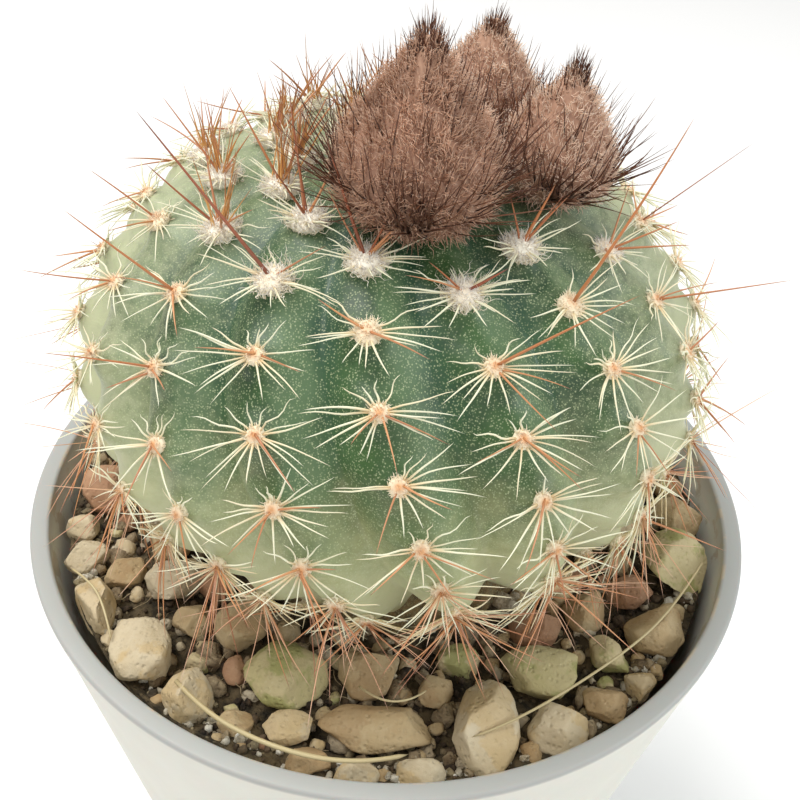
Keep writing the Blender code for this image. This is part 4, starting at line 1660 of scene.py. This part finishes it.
    def _add_straws(self, source: Rng, finishes: Finishes) -> None:
        """Adds the dry straws that lie across the stones, each bowed through its three places."""
        place = np.array(self.straws)
        turn, reach = np.radians(place[..., 0]), place[..., 1] * MM
        spot = np.stack([reach * np.sin(turn), -reach * np.cos(turn), self.top + place[..., 2] * MM], -1)
        start, middle, end = spot[:, 0], spot[:, 1], spot[:, 2]
        run = 4 * middle - 3 * start - end
        length = np.linalg.norm(run, axis=1)
        straws = Fibres(rings=28, sides=8, taper=0.04)
        straws.add(
            start, run, length, np.array(self.straw_thickness) * MM,
            bend=2 * (start + end - 2 * middle) / length[:, None], curl=0.004,
            tint=source.uniform(0, 0.8, len(start)),
        )
        straws.place("straws", source, finishes["straw"], "potting_soil")


# ---------------------------------------------------------------- the studio


@dataclass
class Studio:
    """The pale floor, the soft light and the camera."""

    elevation: float = math.radians(43.9)
    distance: float = 3.185  # in rim radii, from the middle of the rim
    aim_up: float = math.radians(4.4)
    aim_right: float = math.radians(0.28)
    roll: float = math.radians(3.2)
    lens: float = 49.46
    floor_radius: float = 0.32
    floor_steps: int = 128
    world_light: float = 0.52
    key_power: float = 1.9
    window_power: float = 0.55
    fill_power: float = 0.45

    def build(self, pot: Pot, finishes: Finishes) -> None:
        """Sets up the floor, the light and the camera.

        Args:
            pot: the pot, whose rim the camera is placed from.
            finishes: the materials by name.
        """
        self._add_floor(finishes["floor"])
        self._add_world()
        self._add_light("key_light", (-0.16, 0.04, 0.45), 0.30, self.key_power, (1.0, 0.985, 0.955), pot)
        self._add_light("window_light", (0.34, -0.06, 0.24), 0.20, self.window_power, (0.88, 0.96, 1.0), pot)
        self._add_light("front_light", (0.05, -0.45, 0.25), 0.40, self.fill_power, (1.0, 0.99, 0.97), pot)
        self._add_camera(pot)
        bpy.context.scene.view_settings.view_transform = "Standard"

    def _add_floor(self, material: Material) -> None:
        """Adds the floor under the pot."""
        turn = 2 * math.pi * np.arange(self.floor_steps) / self.floor_steps
        points = self.floor_radius * np.stack([np.cos(turn), np.sin(turn), 0 * turn], -1)
        mesh = make_mesh("floor", points, [np.arange(self.floor_steps)[None]])
        floor = bpy.data.objects.new("floor", mesh)
        floor.data.materials.append(material)
        bpy.context.scene.collection.objects.link(floor)

    def _add_world(self) -> None:
        """Adds the even white surroundings, brighter where they are seen than where they light."""
        world = bpy.data.worlds.new("surroundings")
        world.use_nodes = True
        bpy.context.scene.world = world
        graph = Graph(world.node_tree)
        back = world.node_tree.nodes["Background"]
        back.inputs["Color"].default_value = (1.0, 0.995, 0.98, 1.0)
        seen = graph.node("ShaderNodeLightPath").outputs["Is Camera Ray"]
        graph.feed(back.inputs["Strength"], graph.remap(seen, 0.0, 1.0, self.world_light, 1.0))

    def _add_light(
        self, name: str, place: tuple[float, ...], size: float, power: float, colour: Colour, pot: Pot
    ) -> None:
        """Adds one soft square light that faces the pot."""
        lamp = bpy.data.lights.new(name, "AREA")
        lamp.size = size
        lamp.energy = power
        lamp.color = colour
        light = bpy.data.objects.new(name, lamp)
        bpy.context.scene.collection.objects.link(light)
        light.location = place
        aim = Vector((0.0, 0.0, pot.height)) - light.location
        light.rotation_mode = "QUATERNION"
        light.rotation_quaternion = aim.to_track_quat("-Z", "Y")

    def _add_camera(self, pot: Pot) -> None:
        """Places the camera by its height and distance from the middle of the rim."""
        middle = Vector((0.0, 0.0, pot.height))
        back = Vector((0.0, -math.cos(self.elevation), math.sin(self.elevation)))
        ahead, right = -back, Vector((1.0, 0.0, 0.0))
        up = right.cross(ahead)
        level = math.cos(self.aim_up)
        look = ahead * level * math.cos(self.aim_right) + right * level * math.sin(self.aim_right)
        look = (look + up * math.sin(self.aim_up)).normalized()
        side = look.cross(up).normalized()
        rise = side.cross(look)
        turned_side = side * math.cos(self.roll) + rise * math.sin(self.roll)
        turned_rise = rise * math.cos(self.roll) - side * math.sin(self.roll)
        data = bpy.data.cameras.new("camera")
        data.lens = self.lens
        data.sensor_width = 36.0
        data.clip_start = 0.002
        data.clip_end = 50.0
        camera = bpy.data.objects.new("camera", data)
        bpy.context.scene.collection.objects.link(camera)
        turn = Matrix((turned_side, turned_rise, -look)).transposed().to_4x4()
        camera.matrix_world = Matrix.Translation(middle + back * self.distance * pot.rim_radius) @ turn
        bpy.context.scene.camera = camera


# ---------------------------------------------------------------- all of it


def make_finishes(stem: Stem) -> Finishes:
    """Builds every material.

    Args:
        stem: the stem, whose plain globe the skin's painted pale edge haze follows.

    Returns:
        The materials by name.
    """
    effects = Effects()
    fibres = {
        "radial": FibreFinish(
            "radial_spine", (0.72, 0.52, 0.28), (0.86, 0.84, 0.62), (0.90, 0.88, 0.66), (0.82, 0.54, 0.27),
            difference=0.7, roughness=0.42, see_through=0.1,
        ),
        "central": FibreFinish(
            "central_spine", (0.58, 0.27, 0.10), (0.62, 0.29, 0.13), (0.36, 0.15, 0.11), (0.34, 0.11, 0.06),
            difference=0.75, roughness=0.38, see_through=0.1,
        ),
        "dark_central": FibreFinish(
            "dark_central_spine", (0.17, 0.045, 0.025), (0.30, 0.08, 0.035), (0.12, 0.06, 0.06),
            (0.60, 0.24, 0.08), difference=0.75, roughness=0.35,
        ),
        "crown_spine": FibreFinish(
            "crown_spine", (0.80, 0.52, 0.20), (0.76, 0.39, 0.12), (0.26, 0.09, 0.06), (0.34, 0.10, 0.04),
            difference=0.7, roughness=0.4, tip_starts=0.55, see_through=0.1,
        ),
        "areole_felt": FibreFinish(
            "areole_felt", (0.80, 0.66, 0.44), (0.90, 0.80, 0.60), (0.94, 0.90, 0.78), (0.74, 0.36, 0.14),
            difference=0.9, roughness=0.8, sheen=0.2,
        ),
        "young_felt": FibreFinish(
            "young_felt", (0.92, 0.80, 0.66), (0.95, 0.88, 0.77), (0.96, 0.92, 0.84), (0.88, 0.66, 0.48),
            difference=0.5, roughness=0.8, sheen=0.3, see_through=0.3,
        ),
        "crown_wool": FibreFinish(
            "crown_wool", (0.86, 0.72, 0.50), (0.94, 0.86, 0.70), (0.96, 0.93, 0.84), (0.86, 0.66, 0.42),
            difference=0.7, roughness=0.8, sheen=0.3, see_through=0.3,
        ),
        "bud_wool": FibreFinish(
            "bud_wool", (0.40, 0.21, 0.13), (0.76, 0.45, 0.30), (0.92, 0.66, 0.48), (0.29, 0.14, 0.085),
            difference=0.8, roughness=0.8, see_through=0.15,
        ),
        "pale_wool": FibreFinish(
            "pale_bud_wool", (0.74, 0.48, 0.34), (0.95, 0.69, 0.51), (0.97, 0.82, 0.65), (0.60, 0.36, 0.25),
            difference=0.75, roughness=0.8, see_through=0.2,
        ),
        "bud_core": FibreFinish(
            "bud_core", (0.20, 0.10, 0.06), (0.44, 0.26, 0.175), (0.56, 0.35, 0.24), (0.24, 0.12, 0.08),
            difference=0.6, roughness=0.85,
        ),
        "bristle": FibreFinish(
            "bud_bristle", (0.018, 0.008, 0.006), (0.080, 0.026, 0.013), (0.17, 0.058, 0.030),
            (0.42, 0.17, 0.08), difference=0.7, roughness=0.35,
        ),
        "low_spine": FibreFinish(
            "low_spine", (0.74, 0.50, 0.28), (0.76, 0.45, 0.28), (0.74, 0.56, 0.44), (0.44, 0.17, 0.10),
            difference=0.85, roughness=0.42,
        ),
        "root": FibreFinish(
            "root_hair", (0.42, 0.32, 0.18), (0.52, 0.42, 0.25), (0.46, 0.36, 0.22), (0.20, 0.13, 0.07),
            difference=0.8, roughness=0.7,
        ),
        "straw": FibreFinish(
            "dry_straw", (0.56, 0.46, 0.26), (0.66, 0.57, 0.34), (0.60, 0.50, 0.30), (0.44, 0.34, 0.16),
            difference=0.6, roughness=0.5,
        ),
    }
    stones = (
        StoneFinish(
            Stone.CREAM, (0.56, 0.46, 0.30), (0.66, 0.57, 0.41),
            (0.56, 0.37, 0.13), (0.78, 0.72, 0.58),
        ),
        StoneFinish(
            Stone.TAN, (0.47, 0.34, 0.18), (0.56, 0.45, 0.27),
            (0.36, 0.21, 0.09), (0.70, 0.60, 0.44),
        ),
        StoneFinish(
            Stone.MOSS, (0.62, 0.51, 0.31), (0.58, 0.49, 0.26),
            (0.33, 0.34, 0.11), (0.74, 0.68, 0.46), 0.75,
        ),
        StoneFinish(
            Stone.RED, (0.40, 0.21, 0.115), (0.52, 0.33, 0.20),
            (0.24, 0.12, 0.06), (0.62, 0.48, 0.34),
        ),
    )
    centre = (stem.offset, 0.0, stem.rim + stem.middle)
    others = {
        "skin": SkinFinish(centre=centre, radii=(stem.radius, stem.radius, stem.half_height)),
        "potting_soil": SoilFinish(),
        "crumb": SoilFinish("soil_crumb", (0.020, 0.013, 0.008), (0.12, 0.078, 0.043)),
        "grit": SoilFinish("fine_grit", (0.16, 0.11, 0.06), (0.40, 0.31, 0.19), (0.70, 0.62, 0.46)),
        "white_grit": SoilFinish("white_grit", (0.34, 0.29, 0.20), (0.66, 0.61, 0.50), (0.88, 0.85, 0.76)),
        "pot_plastic": PlasticFinish(),
        "floor": FloorFinish(),
    }
    every = fibres | {finish.slot.value: finish for finish in stones} | others
    return {name: finish.build(effects) for name, finish in every.items()}


def main() -> None:
    """Builds the plant, the pot and the studio."""
    pot = Pot()
    stem = Stem()
    finishes = make_finishes(stem)
    buds = [
        Bud("flower_bud_front", 101),
        Bud("flower_bud_right", 102, 3600, 210, 90, 0.75 * MM, 3.8 * MM, wool_finish="pale_wool"),
        Bud(
            "flower_bud_back", 103, 3600, 210, 72, 0.75 * MM, 3.4 * MM,
            core_length=0.84, wool_finish="pale_wool",
        ),
    ]
    pot.build(finishes["pot_plastic"])
    bed = SoilBed(stem)
    bed.build(finishes)
    Gravel(stem, bed).build(finishes)
    stem.build(finishes["skin"])
    SpineCoat(stem, buds).build(finishes)
    for bud in buds:
        bud.build(finishes)
    Studio().build(pot, finishes)


if __name__ == "__main__":
    logging.basicConfig(level=logging.INFO, format="%(name)s %(message)s")
    main()
